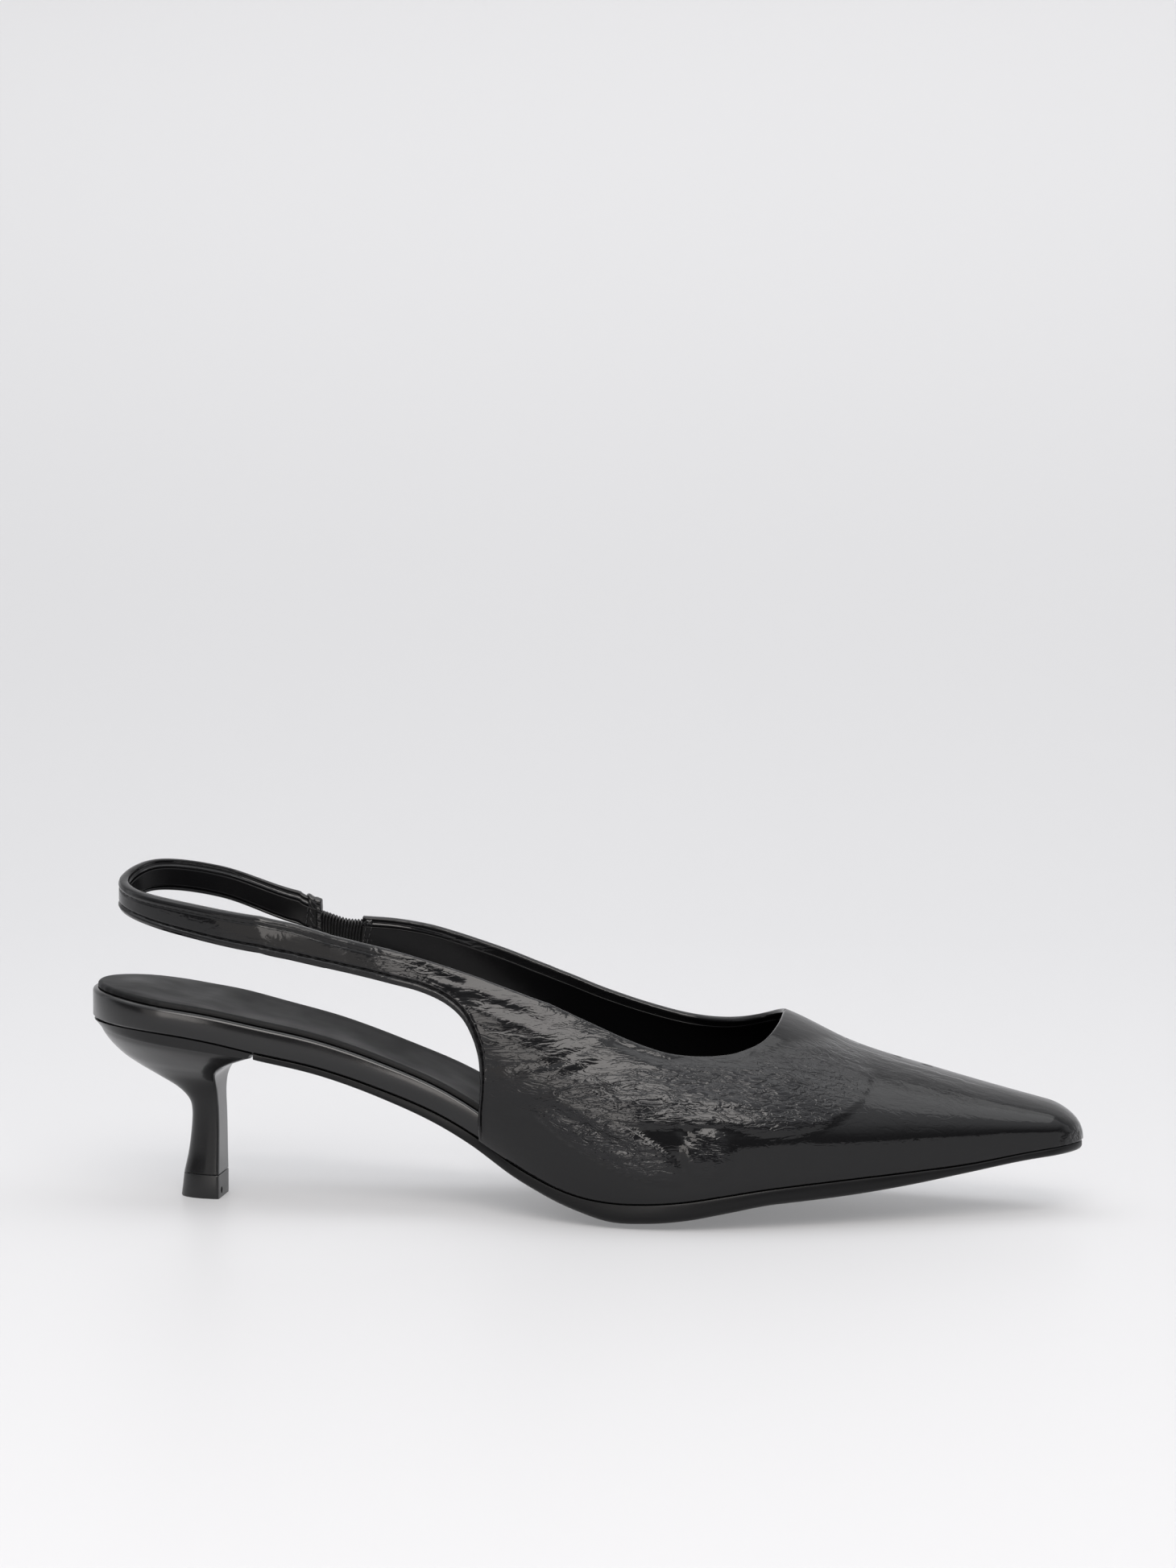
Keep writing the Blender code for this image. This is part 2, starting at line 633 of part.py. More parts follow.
def build_footbed():
    """Build the wrapped footbed, whose edge is the rim at the seat and the waist."""
    x = outline_stations(-WALL_OFFSET, UPPER_TIP_X, OUTLINE_STATIONS, 1)
    shape = (
        (RIM_FOOT_RADIUS, 0.0, 0.0),
        (0.0, RIM_FOOT_RADIUS, 0.0),
        (0.0, -RIM_EDGE_RADIUS, 1.0),
        (RIM_EDGE_RADIUS * 0.3, -RIM_EDGE_RADIUS * 0.3, 1.0),
        (RIM_EDGE_RADIUS, 0.0, 1.0),
    )
    levels = []
    for inset, rise, share in shape:
        near, far = offset_loop(x, np.full(len(x), -WALL_OFFSET - inset))
        near = trim_toe(near, FOOTBED_TOE_MARGIN)
        far = trim_toe(far, FOOTBED_TOE_MARGIN)
        levels.append((near, far, footbed_level(rise, share)))
    return plate("footbed", levels, CAP_COLUMNS, levels[0][2], footbed_top, "wrapped_rim")


def footbed_level(rise, share):
    """Return the height function of one level, from the bed at share 0 to the top at 1."""
    return lambda x, y: bed_height(x, y) + (footbed_depth(x) if share else FIT_GAP) + rise


def sock_top(x, y):
    """Return the height of the padded sock's top face, with its heel pad."""
    reach = np.clip((y - centre_line(x)) / np.maximum(half_outline(x) - WALL_OFFSET, 0.001), -1.0, 1.0)
    pad = ease((x - HEEL_PAD_START) / HEEL_PAD_RAMP) * ease((HEEL_PAD_END - x) / HEEL_PAD_RAMP)
    rise = (SOCK_CROWN + HEEL_PAD_RISE * pad) * (1 - reach ** 2)
    return footbed_top(x, y) + FIT_GAP + SOCK_THICKNESS + rise


def build_sock():
    """Build the padded sock lining that lies on the footbed."""
    inset = WALL_OFFSET + SOCK_INSET
    x = outline_stations(-WALL_OFFSET, UPPER_TIP_X, OUTLINE_STATIONS, 1)
    levels = []
    for extra, share in ((0.0, 0.0), (0.0, 0.5), (SOCK_EDGE_RADIUS * 0.3, 0.85), (SOCK_EDGE_RADIUS, 1.0)):
        near, far = offset_loop(x, np.full(len(x), -inset - extra))
        levels.append((
            trim_toe(near, SOCK_TOE_MARGIN),
            trim_toe(far, SOCK_TOE_MARGIN),
            lambda a, b, part=share: footbed_top(a, b) + FIT_GAP + SOCK_THICKNESS * part,
        ))
    return plate("sock", levels, SOCK_COLUMNS, levels[0][2], sock_top, "sock_leather")


def sole_outset(x):
    """Return how far the outsole's edge stands out from the lasted outline."""
    share = ease((x - SOLE_STEP_X) / SOLE_STEP_RUN)
    waist = -WALL_OFFSET - SOLE_WAIST_INSET
    return waist + (SOLE_MARGIN - waist) * share


def sole_bottom(x, y):
    """Return the height of the outsole's underside, flat where it meets the floor."""
    depth = along(BED_TABLE, "sole", x / SHOE_LENGTH) * SEAT_HEIGHT
    return np.maximum(bed_height(x, y) - depth, 0.0)


def build_outsole():
    """Build the outsole from the heel breast to the toe."""
    x = outline_stations(HEEL_LIP_X + FIT_GAP, UPPER_TIP_X, OUTLINE_STATIONS, 0)
    outset = sole_outset(x)
    levels = []
    for inset, share in ((1.0, 0.0), (0.3, 0.16), (0.0, 0.45)):
        near, far = offset_loop(x, outset - SOLE_EDGE_ROUND * inset * sole_round(x))
        levels.append((
            near,
            far,
            lambda a, b, part=share: sole_bottom(a, b) * (1 - part) + bed_height(a, b) * part,
        ))
    near, far = offset_loop(x, outset)
    levels.append((near, far, bed_height))
    for near, far, _ in levels:
        near[0, 0] = HEEL_LIP_X + FIT_GAP
        far[0, 0] = HEEL_LIP_X + FIT_GAP
    return plate("outsole", levels, CAP_COLUMNS, sole_bottom, bed_height, "outsole_leather")


def sole_round(x):
    """Return the share of the edge rounding, small at the thin waist and full at the ball."""
    return WAIST_ROUND + (1 - WAIST_ROUND) * ease((x - SOLE_STEP_X) / (2 * SOLE_STEP_RUN))


def heel_ring(row, scale=1.0):
    """Return one ring of the heel: near side back to front, the breast, far side front to back."""
    back = along(HEEL_TABLE, "back_x", row) * HEEL_LIP_X
    front = along(HEEL_TABLE, "front_x", row) * HEEL_LIP_X
    half = along(HEEL_TABLE, "half", row) * TOP_LIFT_WIDTH / 2 * scale
    seat = along(HEEL_TABLE, "seat", row)
    back_z = HEEL_FOOT_Z + along(HEEL_TABLE, "back_height", row) * HEEL_HEIGHT
    front_z = HEEL_FOOT_Z + along(HEEL_TABLE, "front_height", row) * HEEL_HEIGHT
    turn = np.linspace(0, math.pi / 2, HEEL_ARC_POINTS)
    ahead = 1 - np.cos(turn)
    stem = np.sin(turn)
    plan = seat_plan(HEEL_INSET + (HEEL_LIP_X - HEEL_INSET) * ahead) / seat_plan(np.array((HEEL_LIP_X,)))
    width = half * (stem * (1 - seat) + plan * seat)
    x = back + (front - back) * ahead
    z = back_z + (front_z - back_z) * ahead
    middle = centre_line(x) * seat
    return close_ring(x, middle, width, z)


def seat_plan(x):
    """Return the half width of the heel seat."""
    half = np.maximum(half_outline(x - HEEL_INSET) - WALL_OFFSET - HEEL_INSET, 0.0)
    return half * round_end(x, HEEL_BACK_ROUND)


def close_ring(x, middle, width, z):
    """Join two side curves and a straight breast into one closed ring."""
    near = np.column_stack((x, middle - width, z))
    far = np.column_stack((x, middle + width, z))[::-1]
    front = near[-1] + (far[0] - near[-1]) * np.linspace(0, 1, HEEL_FRONT_POINTS + 1)[1:-1, None]
    return np.concatenate((near[1:], front, far[:-1], near[:1]))


def seat_ring():
    """Return the heel's top ring, which follows the footbed's outline and the bed."""
    turn = np.linspace(0, math.pi / 2, HEEL_ARC_POINTS)
    x = HEEL_INSET + (HEEL_LIP_X - HEEL_INSET) * (1 - np.cos(turn))
    width = seat_plan(x)
    ring = close_ring(x, centre_line(x), width, x * 0)
    ring[:, 2] = bed_height(ring[:, 0], ring[:, 1])
    return ring


def stack_rings(name, rings, material):
    """Build a closed body from stacked rings."""
    sketch = Sketch()
    grid = sketch.add(np.array(rings))
    sketch.skin(grid, closed=True)
    sketch.face(grid[0])
    cap_seat(sketch, grid[-1])
    return build_object(name, sketch, material)


def cap_seat(sketch, ring):
    """Close a ring with cross strips between its near and far side."""
    side = HEEL_ARC_POINTS - 1
    near = ring[:side]
    far = ring[side + HEEL_FRONT_POINTS - 1:2 * side + HEEL_FRONT_POINTS - 1][::-1]
    back = ring[-1]
    sketch.face((back, near[0], far[0]))
    for index in range(side - 1):
        sketch.face((near[index], near[index + 1], far[index + 1], far[index]))
    front = ring[side - 1:side + HEEL_FRONT_POINTS]
    if len(front) > 3:
        sketch.face(front)


def build_heel():
    """Build the covered heel, from the top lift up to the seat."""
    rings = [heel_ring(row) for row in range(len(HEEL))]
    rings.append(seat_ring())
    return stack_rings("heel", rings, "heel_gloss")


def build_top_lift():
    """Build the top lift under the heel."""
    rings = []
    for height, flare, scale in (
        (0.0, 0.7, 0.985),
        (LIFT_EDGE, 1.0, 1.02),
        (TOP_LIFT_HEIGHT - LIFT_EDGE, 0.1, 1.02),
        (TOP_LIFT_HEIGHT, 0.0, 1.0),
    ):
        ring = heel_ring(0, scale)
        front = ring[:, 0].max()
        ring[:, 0] = front - (front - ring[:, 0]) * (1 + LIFT_FLARE * flare)
        ring[:, 2] = height
        rings.append(ring)
    return stack_rings("top_lift", rings, "lift_rubber")


def build_upper():
    """Build the upper with its sling strap as one wall, open at throat, sides and bottom."""
    ribs, walls = upper_ribs()
    return walled_ribbon("upper", ribs, walls, "patent_leather", EDGE_ROLL)


def build_elastic():
    """Build the elastic between the strap's end and the far ear."""
    start = STRAP_END_X + ELASTIC_END_GAP
    ribs = []
    for run in np.linspace(0, 1, ELASTIC_STATIONS + 1):
        top_x = start + (QUARTER[0][1] * SHOE_LENGTH - ELASTIC_END_GAP - start) * run
        bottom_x = start + (QUARTER[0][4] * SHOE_LENGTH - ELASTIC_END_GAP - start) * run
        top_z = along(ELASTIC_TABLE, "top", run) * STRAP_TOP_HEIGHT
        bottom_z = along(ELASTIC_TABLE, "bottom", run) * STRAP_TOP_HEIGHT
        top = np.array((top_x, side_plan(top_x, top_z, 1) - ELASTIC_INSET, top_z))
        bottom_y = side_plan(bottom_x, bottom_z, 1) - ELASTIC_INSET
        ribs.append(strap_line(top, np.array((bottom_x, bottom_y, bottom_z))))
    outer = np.array(ribs)[::-1]
    return walled_ribbon("elastic", outer, np.full(len(outer), ELASTIC_THICKNESS), "ribbed_elastic", 0.0)


def centre_part(items):
    """Move every mesh so that the part's box stands centred on the origin."""
    corners = np.array([vertex.co[:] for item in items for vertex in item.data.vertices])
    low = corners.min(axis=0)
    high = corners.max(axis=0)
    shift = (-(low[0] + high[0]) / 2, -(low[1] + high[1]) / 2, -low[2])
    for item in items:
        for vertex in item.data.vertices:
            vertex.co.x += shift[0]
            vertex.co.y += shift[1]
            vertex.co.z += shift[2]
        item.data.update()


def main():
    """Build the shoe."""
    for item in list(bpy.data.objects):
        bpy.data.objects.remove(item)
    items = [
        build_upper(),
        build_elastic(),
        build_footbed(),
        build_sock(),
        build_outsole(),
        build_heel(),
        build_top_lift(),
    ]
    centre_part(items)


main()
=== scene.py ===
"""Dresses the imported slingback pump: patent upper, sling strap, padded sock, covered heel and studio.

Lengths are metres in the CAD frame: toe toward +X, outer side toward -Y, floor at z = 0.
"""

import logging
import math
from dataclasses import dataclass, field
from enum import Enum
from typing import Callable

import bpy
import numpy as np
from mathutils import Matrix, Vector


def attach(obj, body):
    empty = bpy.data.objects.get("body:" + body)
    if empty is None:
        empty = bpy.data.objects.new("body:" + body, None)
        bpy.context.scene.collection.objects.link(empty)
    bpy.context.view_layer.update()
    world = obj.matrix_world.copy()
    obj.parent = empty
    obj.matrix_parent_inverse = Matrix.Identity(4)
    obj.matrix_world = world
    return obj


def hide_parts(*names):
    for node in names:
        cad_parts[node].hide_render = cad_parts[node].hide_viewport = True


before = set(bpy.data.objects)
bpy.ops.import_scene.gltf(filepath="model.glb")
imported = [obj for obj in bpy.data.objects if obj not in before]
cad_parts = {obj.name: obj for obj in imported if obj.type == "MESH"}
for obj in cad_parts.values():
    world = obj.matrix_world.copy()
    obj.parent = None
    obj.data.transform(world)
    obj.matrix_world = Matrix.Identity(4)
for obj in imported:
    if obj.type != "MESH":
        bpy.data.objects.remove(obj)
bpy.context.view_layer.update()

LOG = logging.getLogger("slingback")
MM = 0.001
BODY = "root"

# Driving sizes of the lasted shoe, as in the CAD model.
SHOE_LENGTH = 260.0 * MM
HALF_BALL = 40.0 * MM
STRAP_TOP_HEIGHT = 88.0 * MM
SEAT_HEIGHT = 45.0 * MM
FIT_GAP = 0.3 * MM
UPPER_WALL = 1.6 * MM
STRAP_WALL = 2.4 * MM
WALL_OFFSET = UPPER_WALL + FIT_GAP
SOLE_MARGIN = 0.5 * MM
SEAT_RADIUS = 26.2 * MM
TOE_RADIUS = 8.5 * MM
TOE_NOSE_LENGTH = 8.8 * MM
TOE_NOSE_POWER = 0.72
UPPER_TIP_X = SHOE_LENGTH - SOLE_MARGIN
RIM_BACK_X = -129.9 * MM
LOOP_BACK_X = 7.0 * MM
LOOP_FRONT_X = 50.0 * MM
LOOP_HALF_WIDTH = 26.8 * MM
STRAP_END_X = 54.8 * MM
HEEL_LIP_X = 47.0 * MM
UNDER_ANGLE = math.radians(60)
TOE_CROWDING = 0.7
SIDE_FLARE_POWER = 1.6
SIDE_LINEAR_SHARE = 0.75
FOOTBED_DISH = 2.2 * MM
DISH_START_X = 8.0 * MM
DISH_START_RUN = 20.0 * MM
DISH_END_X = 125.0 * MM
DISH_END_RUN = 40.0 * MM
STRAP_EASE_ROWS = 4.0

# Doubled points closer than this are one point, and faces thinner than this are dropped.
MERGE_DISTANCE = 0.002 * MM
DEGENERATE_SIZE = 0.001 * MM

# Studio: levels of the room, powers of the lights in watts.
ROOM_DARK = 0.05
ROOM_BRIGHT = 1.15
OVERHEAD_POWER = 12.0
FRONT_POWER = 11.5
CARD_POWER = 2.8
FAR_CARD_POWER = 1.0
WARM_WHITE = "#fffaf6"

# Crinkle that the leather has even where nothing bends it.
CRINKLE_EVERYWHERE = 0.06

# Along the opening's edge: pitch of the stitches and of the slow swell of the puckers.
STITCH_PITCH = 2.4 * MM
SLOW_PITCH = 5.7 * MM

# Plan of the lasted outline: x as a share of the length, the rest as shares of half the ball width.
PLAN_COLUMNS = ("x", "centre", "half")
PLAN = (
    (0.000, 0.000, 0.655),
    (0.096, 0.000, 0.655),
    (0.135, -0.002, 0.645),
    (0.181, -0.008, 0.608),
    (0.231, -0.015, 0.565),
    (0.288, -0.025, 0.532),
    (0.346, -0.035, 0.530),
    (0.385, -0.037, 0.556),
    (0.423, -0.038, 0.604),
    (0.462, -0.038, 0.688),
    (0.500, -0.030, 0.786),
    (0.538, -0.022, 0.868),
    (0.577, -0.010, 0.922),
    (0.615, 0.003, 0.940),
    (0.654, 0.015, 0.922),
    (0.692, 0.023, 0.870),
    (0.731, 0.027, 0.795),
    (0.769, 0.030, 0.708),
    (0.808, 0.034, 0.620),
    (0.846, 0.040, 0.533),
    (0.885, 0.049, 0.445),
    (0.923, 0.060, 0.358),
    (0.962, 0.075, 0.272),
    (1.000, 0.090, 0.185),
)

# Bed line: edge height, crown, outsole and footbed thickness as shares of the seat height.
BED_COLUMNS = ("x", "edge", "crown", "sole", "footbed")
BED = (
    (0.000, 1.064, 0.000, 0.033, 0.186),
    (0.085, 1.018, 0.000, 0.033, 0.160),
    (0.137, 0.967, 0.000, 0.033, 0.163),
    (0.181, 0.906, 0.000, 0.033, 0.168),
    (0.246, 0.818, 0.000, 0.036, 0.168),
    (0.308, 0.700, 0.002, 0.044, 0.167),
    (0.373, 0.548, 0.008, 0.058, 0.164),
    (0.402, 0.457, 0.012, 0.062, 0.162),
    (0.423, 0.384, 0.016, 0.064, 0.157),
    (0.444, 0.314, 0.022, 0.066, 0.149),
    (0.465, 0.254, 0.028, 0.068, 0.139),
    (0.485, 0.207, 0.034, 0.073, 0.127),
    (0.512, 0.164, 0.042, 0.083, 0.112),
    (0.538, 0.145, 0.050, 0.102, 0.098),
    (0.577, 0.144, 0.053, 0.104, 0.082),
    (0.615, 0.162, 0.052, 0.101, 0.074),
    (0.654, 0.196, 0.047, 0.094, 0.068),
    (0.692, 0.227, 0.043, 0.086, 0.064),
    (0.731, 0.249, 0.039, 0.088, 0.060),
    (0.769, 0.267, 0.035, 0.086, 0.058),
    (0.827, 0.294, 0.028, 0.070, 0.056),
    (0.885, 0.326, 0.021, 0.046, 0.054),
    (0.942, 0.376, 0.013, 0.042, 0.052),
    (1.000, 0.418, 0.006, 0.050, 0.050),
)

# Last above the bed: widths as shares of half the ball width, heights of the strap top height.
LAST_COLUMNS = ("x", "widest", "widest_height", "ridge_side", "ridge_height", "peak")
LAST = (
    (0.181, 0.665, 0.800, 0.020, 1.180, 1.00),
    (0.231, 0.690, 0.750, 0.030, 1.150, 1.00),
    (0.331, 0.755, 0.660, 0.040, 1.115, 1.00),
    (0.385, 0.780, 0.570, 0.050, 1.045, 1.05),
    (0.423, 0.800, 0.500, 0.060, 0.975, 1.10),
    (0.462, 0.828, 0.430, 0.070, 0.905, 1.15),
    (0.512, 0.898, 0.320, 0.080, 0.812, 1.22),
    (0.577, 0.985, 0.245, 0.095, 0.705, 1.30),
    (0.635, 0.992, 0.228, 0.105, 0.628, 1.34),
    (0.700, 0.902, 0.240, 0.105, 0.583, 1.30),
    (0.769, 0.748, 0.240, 0.095, 0.489, 1.22),
    (0.854, 0.548, 0.246, 0.090, 0.412, 1.12),
    (0.923, 0.370, 0.253, 0.090, 0.355, 1.10),
    (0.962, 0.280, 0.255, 0.090, 0.324, 1.10),
    (1.000, 0.190, 0.258, 0.090, 0.292, 1.10),
)

# Side openings: topline and opening edge, x as shares of the length, heights of the strap top.
QUARTER_COLUMNS = ("row", "top_x", "near_top", "far_top", "edge_x", "near_edge", "far_edge")
QUARTER = (
    (0, 0.259, 0.823, 0.817, 0.256, 0.734, 0.718),
    (1, 0.292, 0.802, 0.810, 0.290, 0.715, 0.695),
    (2, 0.327, 0.780, 0.793, 0.325, 0.693, 0.668),
    (3, 0.358, 0.755, 0.768, 0.354, 0.673, 0.640),
    (4, 0.385, 0.731, 0.743, 0.378, 0.643, 0.608),
    (5, 0.406, 0.711, 0.723, 0.395, 0.603, 0.572),
    (6, 0.423, 0.693, 0.705, 0.405, 0.555, 0.530),
    (7, 0.438, 0.677, 0.688, 0.412, 0.495, 0.480),
    (8, 0.452, 0.662, 0.673, 0.414, 0.432, 0.424),
    (9, 0.463, 0.650, 0.660, 0.413, 0.364, 0.360),
    (10, 0.473, 0.640, 0.649, 0.410, 0.295, 0.295),
    (11, 0.481, 0.632, 0.640, 0.408, 0.193, 0.193),
)

# Vamp ribs from the opening to the toe centre: topline, feather and how long a rib stays on top.
VAMP_COLUMNS = ("row", "top_x", "near_top", "far_top", "feather_x", "dive")
VAMP = (
    (0, 0.481, 0.632, 0.640, 0.408, 1.00),
    (1, 0.504, 0.601, 0.613, 0.436, 1.00),
    (2, 0.527, 0.571, 0.589, 0.467, 1.00),
    (3, 0.550, 0.542, 0.567, 0.505, 1.00),
    (4, 0.573, 0.516, 0.548, 0.550, 1.00),
    (5, 0.594, 0.497, 0.534, 0.600, 0.96),
    (6, 0.615, 0.487, 0.526, 0.654, 0.90),
    (7, 0.635, 0.484, 0.525, 0.712, 0.80),
    (8, 0.654, 0.488, 0.531, 0.773, 0.68),
    (9, 0.669, 0.498, 0.541, 0.835, 0.56),
    (10, 0.683, 0.513, 0.555, 0.892, 0.45),
    (11, 0.693, 0.535, 0.568, 0.942, 0.33),
    (12, 0.700, 0.560, 0.577, 0.978, 0.20),
    (13, 0.703, 0.581, 0.581, 0.998, 0.03),
)

# Strap loop: near side, half turn round the back, far side, with edge heights of the strap top.
LOOP_COLUMNS = ("row", "top", "bottom")
LOOP = (
    (0, 0.823, 0.734),
    (1, 0.849, 0.752),
    (2, 0.868, 0.770),
    (3, 0.900, 0.810),
    (4, 0.927, 0.848),
    (5, 0.961, 0.880),
    (6, 0.996, 0.911),
    (7, 0.968, 0.881),
    (8, 0.890, 0.795),
    (9, 0.866, 0.772),
)
LOOP_TURN_START = 2
LOOP_TURN_END = 8

# Elastic between the strap end and the far ear, edge heights of the strap top.
ELASTIC_COLUMNS = ("run", "top", "bottom")
ELASTIC = (
    (0.0, 0.838, 0.762),
    (0.3, 0.822, 0.757),
    (0.6, 0.806, 0.750),
    (1.0, 0.803, 0.734),
)

# Heel rings: heights as shares of the heel's height over the top lift, x of the heel's lip,
# half width of the top lift's half width.
HEEL_COLUMNS = ("row", "back_height", "front_height", "back_x", "front_x", "half", "seat")
HEEL = (
    (0, 0.000, 0.000, 0.504, 0.728, 1.00, 0.00),
    (1, 0.143, 0.143, 0.530, 0.728, 0.94, 0.00),
    (2, 0.299, 0.299, 0.547, 0.728, 0.89, 0.00),
    (3, 0.428, 0.428, 0.551, 0.726, 0.87, 0.00),
    (4, 0.507, 0.507, 0.532, 0.723, 0.89, 0.00),
    (5, 0.584, 0.584, 0.468, 0.721, 1.00, 0.02),
    (6, 0.662, 0.649, 0.362, 0.721, 1.27, 0.08),
    (7, 0.741, 0.701, 0.255, 0.732, 1.71, 0.20),
    (8, 0.818, 0.745, 0.170, 0.766, 2.20, 0.40),
    (9, 0.904, 0.787, 0.105, 0.826, 2.70, 0.62),
    (10, 0.974, 0.827, 0.070, 0.904, 3.11, 0.84),
    (11, 1.028, 0.857, 0.050, 0.979, 3.38, 0.96),
)


class Side(Enum):
    """The two sides of the shoe: the outer one faces the camera."""

    NEAR = -1
    FAR = 1


class Table:
    """A table of given stations whose columns are read by a smooth cubic."""

    def __init__(self, columns: tuple[str, ...], rows: tuple[tuple[float, ...], ...]) -> None:
        """Keep each column with its slopes.

        Args:
            columns: Names of the columns, the first one being the station.
            rows: One row of numbers per station.
        """
        data = np.array(rows, dtype=float)
        self.stations = data[:, 0]
        self.values = {name: data[:, index] for index, name in enumerate(columns)}
        self.slopes = {name: np.gradient(values, self.stations) for name, values in self.values.items()}
        self.last_row = float(self.stations[-1])

    def read(self, name: str, station: np.ndarray | float) -> np.ndarray | float:
        """Read one column at one or more stations.

        Args:
            name: The column.
            station: Where along the table.

        Returns:
            The smoothly interpolated values.
        """
        stations, values, slopes = self.stations, self.values[name], self.slopes[name]
        place = np.clip(station, stations[0], stations[-1])
        row = np.clip(np.searchsorted(stations, place, side="right") - 1, 0, len(stations) - 2)
        width = stations[row + 1] - stations[row]
        t = (place - stations[row]) / width
        start = (1 + 2 * t) * (1 - t) ** 2 * values[row] + t * (1 - t) ** 2 * width * slopes[row]
        end = t * t * (3 - 2 * t) * values[row + 1] + t * t * (t - 1) * width * slopes[row + 1]
        return start + end


def ease(t: np.ndarray | float) -> np.ndarray | float:
    """Return a smooth step from 0 to 1."""
    t = np.clip(t, 0.0, 1.0)
    return t * t * (3 - 2 * t)


def hump(distance: np.ndarray, width: float) -> np.ndarray:
    """Return a soft bell of height 1 that falls to nothing at about one and a half widths."""
    return np.exp(-((distance / width) ** 2) * 1.6)


def round_end(distance: np.ndarray | float, radius: float) -> np.ndarray | float:
    """Return the quarter-round factor of an end, 0 at its tip and 1 past its radius."""
    share = np.clip(distance / radius, 0.0, 1.0)
    return np.sqrt(1 - (1 - share) ** 2)


def unit(vectors: np.ndarray) -> np.ndarray:
    """Return vectors scaled to length one."""
    return vectors / np.maximum(np.linalg.norm(vectors, axis=-1, keepdims=True), 1e-12)


class Last:
    """The wooden form that the shoe is made on, and the bed and edges that follow it."""

    def __init__(self) -> None:
        """Read the tables."""
        self.plan = Table(PLAN_COLUMNS, PLAN)
        self.bed = Table(BED_COLUMNS, BED)
        self.form = Table(LAST_COLUMNS, LAST)
        self.quarter = Table(QUARTER_COLUMNS, QUARTER)
        self.vamp = Table(VAMP_COLUMNS, VAMP)
        self.loop = Table(LOOP_COLUMNS, LOOP)

    def end_factor(self, x: np.ndarray | float) -> np.ndarray | float:
        """Return how much of the plan width is left near the seat and the toe."""
        return round_end(x + WALL_OFFSET, SEAT_RADIUS) * round_end(UPPER_TIP_X - x, TOE_RADIUS)

    def centre_line(self, x: np.ndarray | float) -> np.ndarray | float:
        """Return the y of the outline's centre."""
        return self.plan.read("centre", x / SHOE_LENGTH) * HALF_BALL

    def half_outline(self, x: np.ndarray | float) -> np.ndarray | float:
        """Return the half width of the lasted outline."""
        return self.plan.read("half", x / SHOE_LENGTH) * HALF_BALL * self.end_factor(x)

    def bed_edge(self, x: np.ndarray | float) -> np.ndarray | float:
        """Return the height of the bed line at the outline."""
        return self.bed.read("edge", x / SHOE_LENGTH) * SEAT_HEIGHT

    def reach_across(self, x: np.ndarray, y: np.ndarray) -> np.ndarray:
        """Return how far across the outline a place lies, from -1 to 1."""
        return np.clip((y - self.centre_line(x)) / np.maximum(self.half_outline(x), MM), -1.0, 1.0)

    def bed_height(self, x: np.ndarray, y: np.ndarray) -> np.ndarray:
        """Return the height of the bed, which is crowned across under the ball."""
        crown = self.bed.read("crown", x / SHOE_LENGTH) * SEAT_HEIGHT
        return self.bed_edge(x) - crown * (1 - self.reach_across(x, y) ** 2)

    def footbed_top(self, x: np.ndarray, y: np.ndarray) -> np.ndarray:
        """Return the height of the footbed's top face, dished under the heel and the arch.

        Args:
            x: Distances from the rim's back.
            y: Places across.

        Returns:
            Heights above the floor.
        """
        start = ease((x - DISH_START_X) / DISH_START_RUN)
        span = start * ease((DISH_END_X - x) / DISH_END_RUN)
        dish = FOOTBED_DISH * span * (1 - self.reach_across(x, y) ** 2) ** 1.5
        return self.bed_height(x, y) + self.bed.read("footbed", x / SHOE_LENGTH) * SEAT_HEIGHT - dish

    def point(self, x: np.ndarray | float, angle: np.ndarray | float, side: Side) -> np.ndarray:
        """Return points on the last.

        Args:
            x: Distance from the rim's back.
            angle: Place round the section, 90 degrees on the ridge and negative below the widest place.
            side: Which side of the shoe.

        Returns:
            One point per x and angle.
        """
        x = np.asarray(x, dtype=float)
        share = x / SHOE_LENGTH
        ends = self.end_factor(x)
        centre = self.centre_line(x)
        feather, widest_z, ridge_z = self.heights(x)
        widest_y = centre + side.value * self.form.read("widest", share) * HALF_BALL * ends
        ridge_y = centre + self.form.read("ridge_side", share) * HALF_BALL * ends
        lean = np.maximum(np.cos(angle), 0.0) ** self.form.read("peak", share)
        upper_y = ridge_y + (widest_y - ridge_y) * lean
        upper_z = widest_z + (ridge_z - widest_z) * np.sin(angle)
        feather_y = centre + side.value * self.half_outline(x)
        spread = (np.cos(angle) - math.cos(UNDER_ANGLE)) / (1 - math.cos(UNDER_ANGLE))
        lower_y = feather_y + (widest_y - feather_y) * spread
        lower_z = widest_z + (widest_z - feather) * np.sin(angle) / math.sin(UNDER_ANGLE)
        above = np.asarray(angle) >= 0
        return np.stack((x, np.where(above, upper_y, lower_y), np.where(above, upper_z, lower_z)), axis=-1)

    def heights(self, x: np.ndarray | float) -> tuple[np.ndarray, np.ndarray, np.ndarray]:
        """Return the heights of the feather, the widest place and the ridge.

        Args:
            x: Distance from the rim's back.

        Returns:
            The three heights above the floor.
        """
        share = x / SHOE_LENGTH
        nose = round_end(UPPER_TIP_X - x, TOE_NOSE_LENGTH) ** TOE_NOSE_POWER
        feather = self.bed_edge(x) + FIT_GAP
        widest = feather + (self.form.read("widest_height", share) * STRAP_TOP_HEIGHT - feather) * nose
        ridge = feather + (self.form.read("ridge_height", share) * STRAP_TOP_HEIGHT - feather) * nose
        return feather, widest, ridge

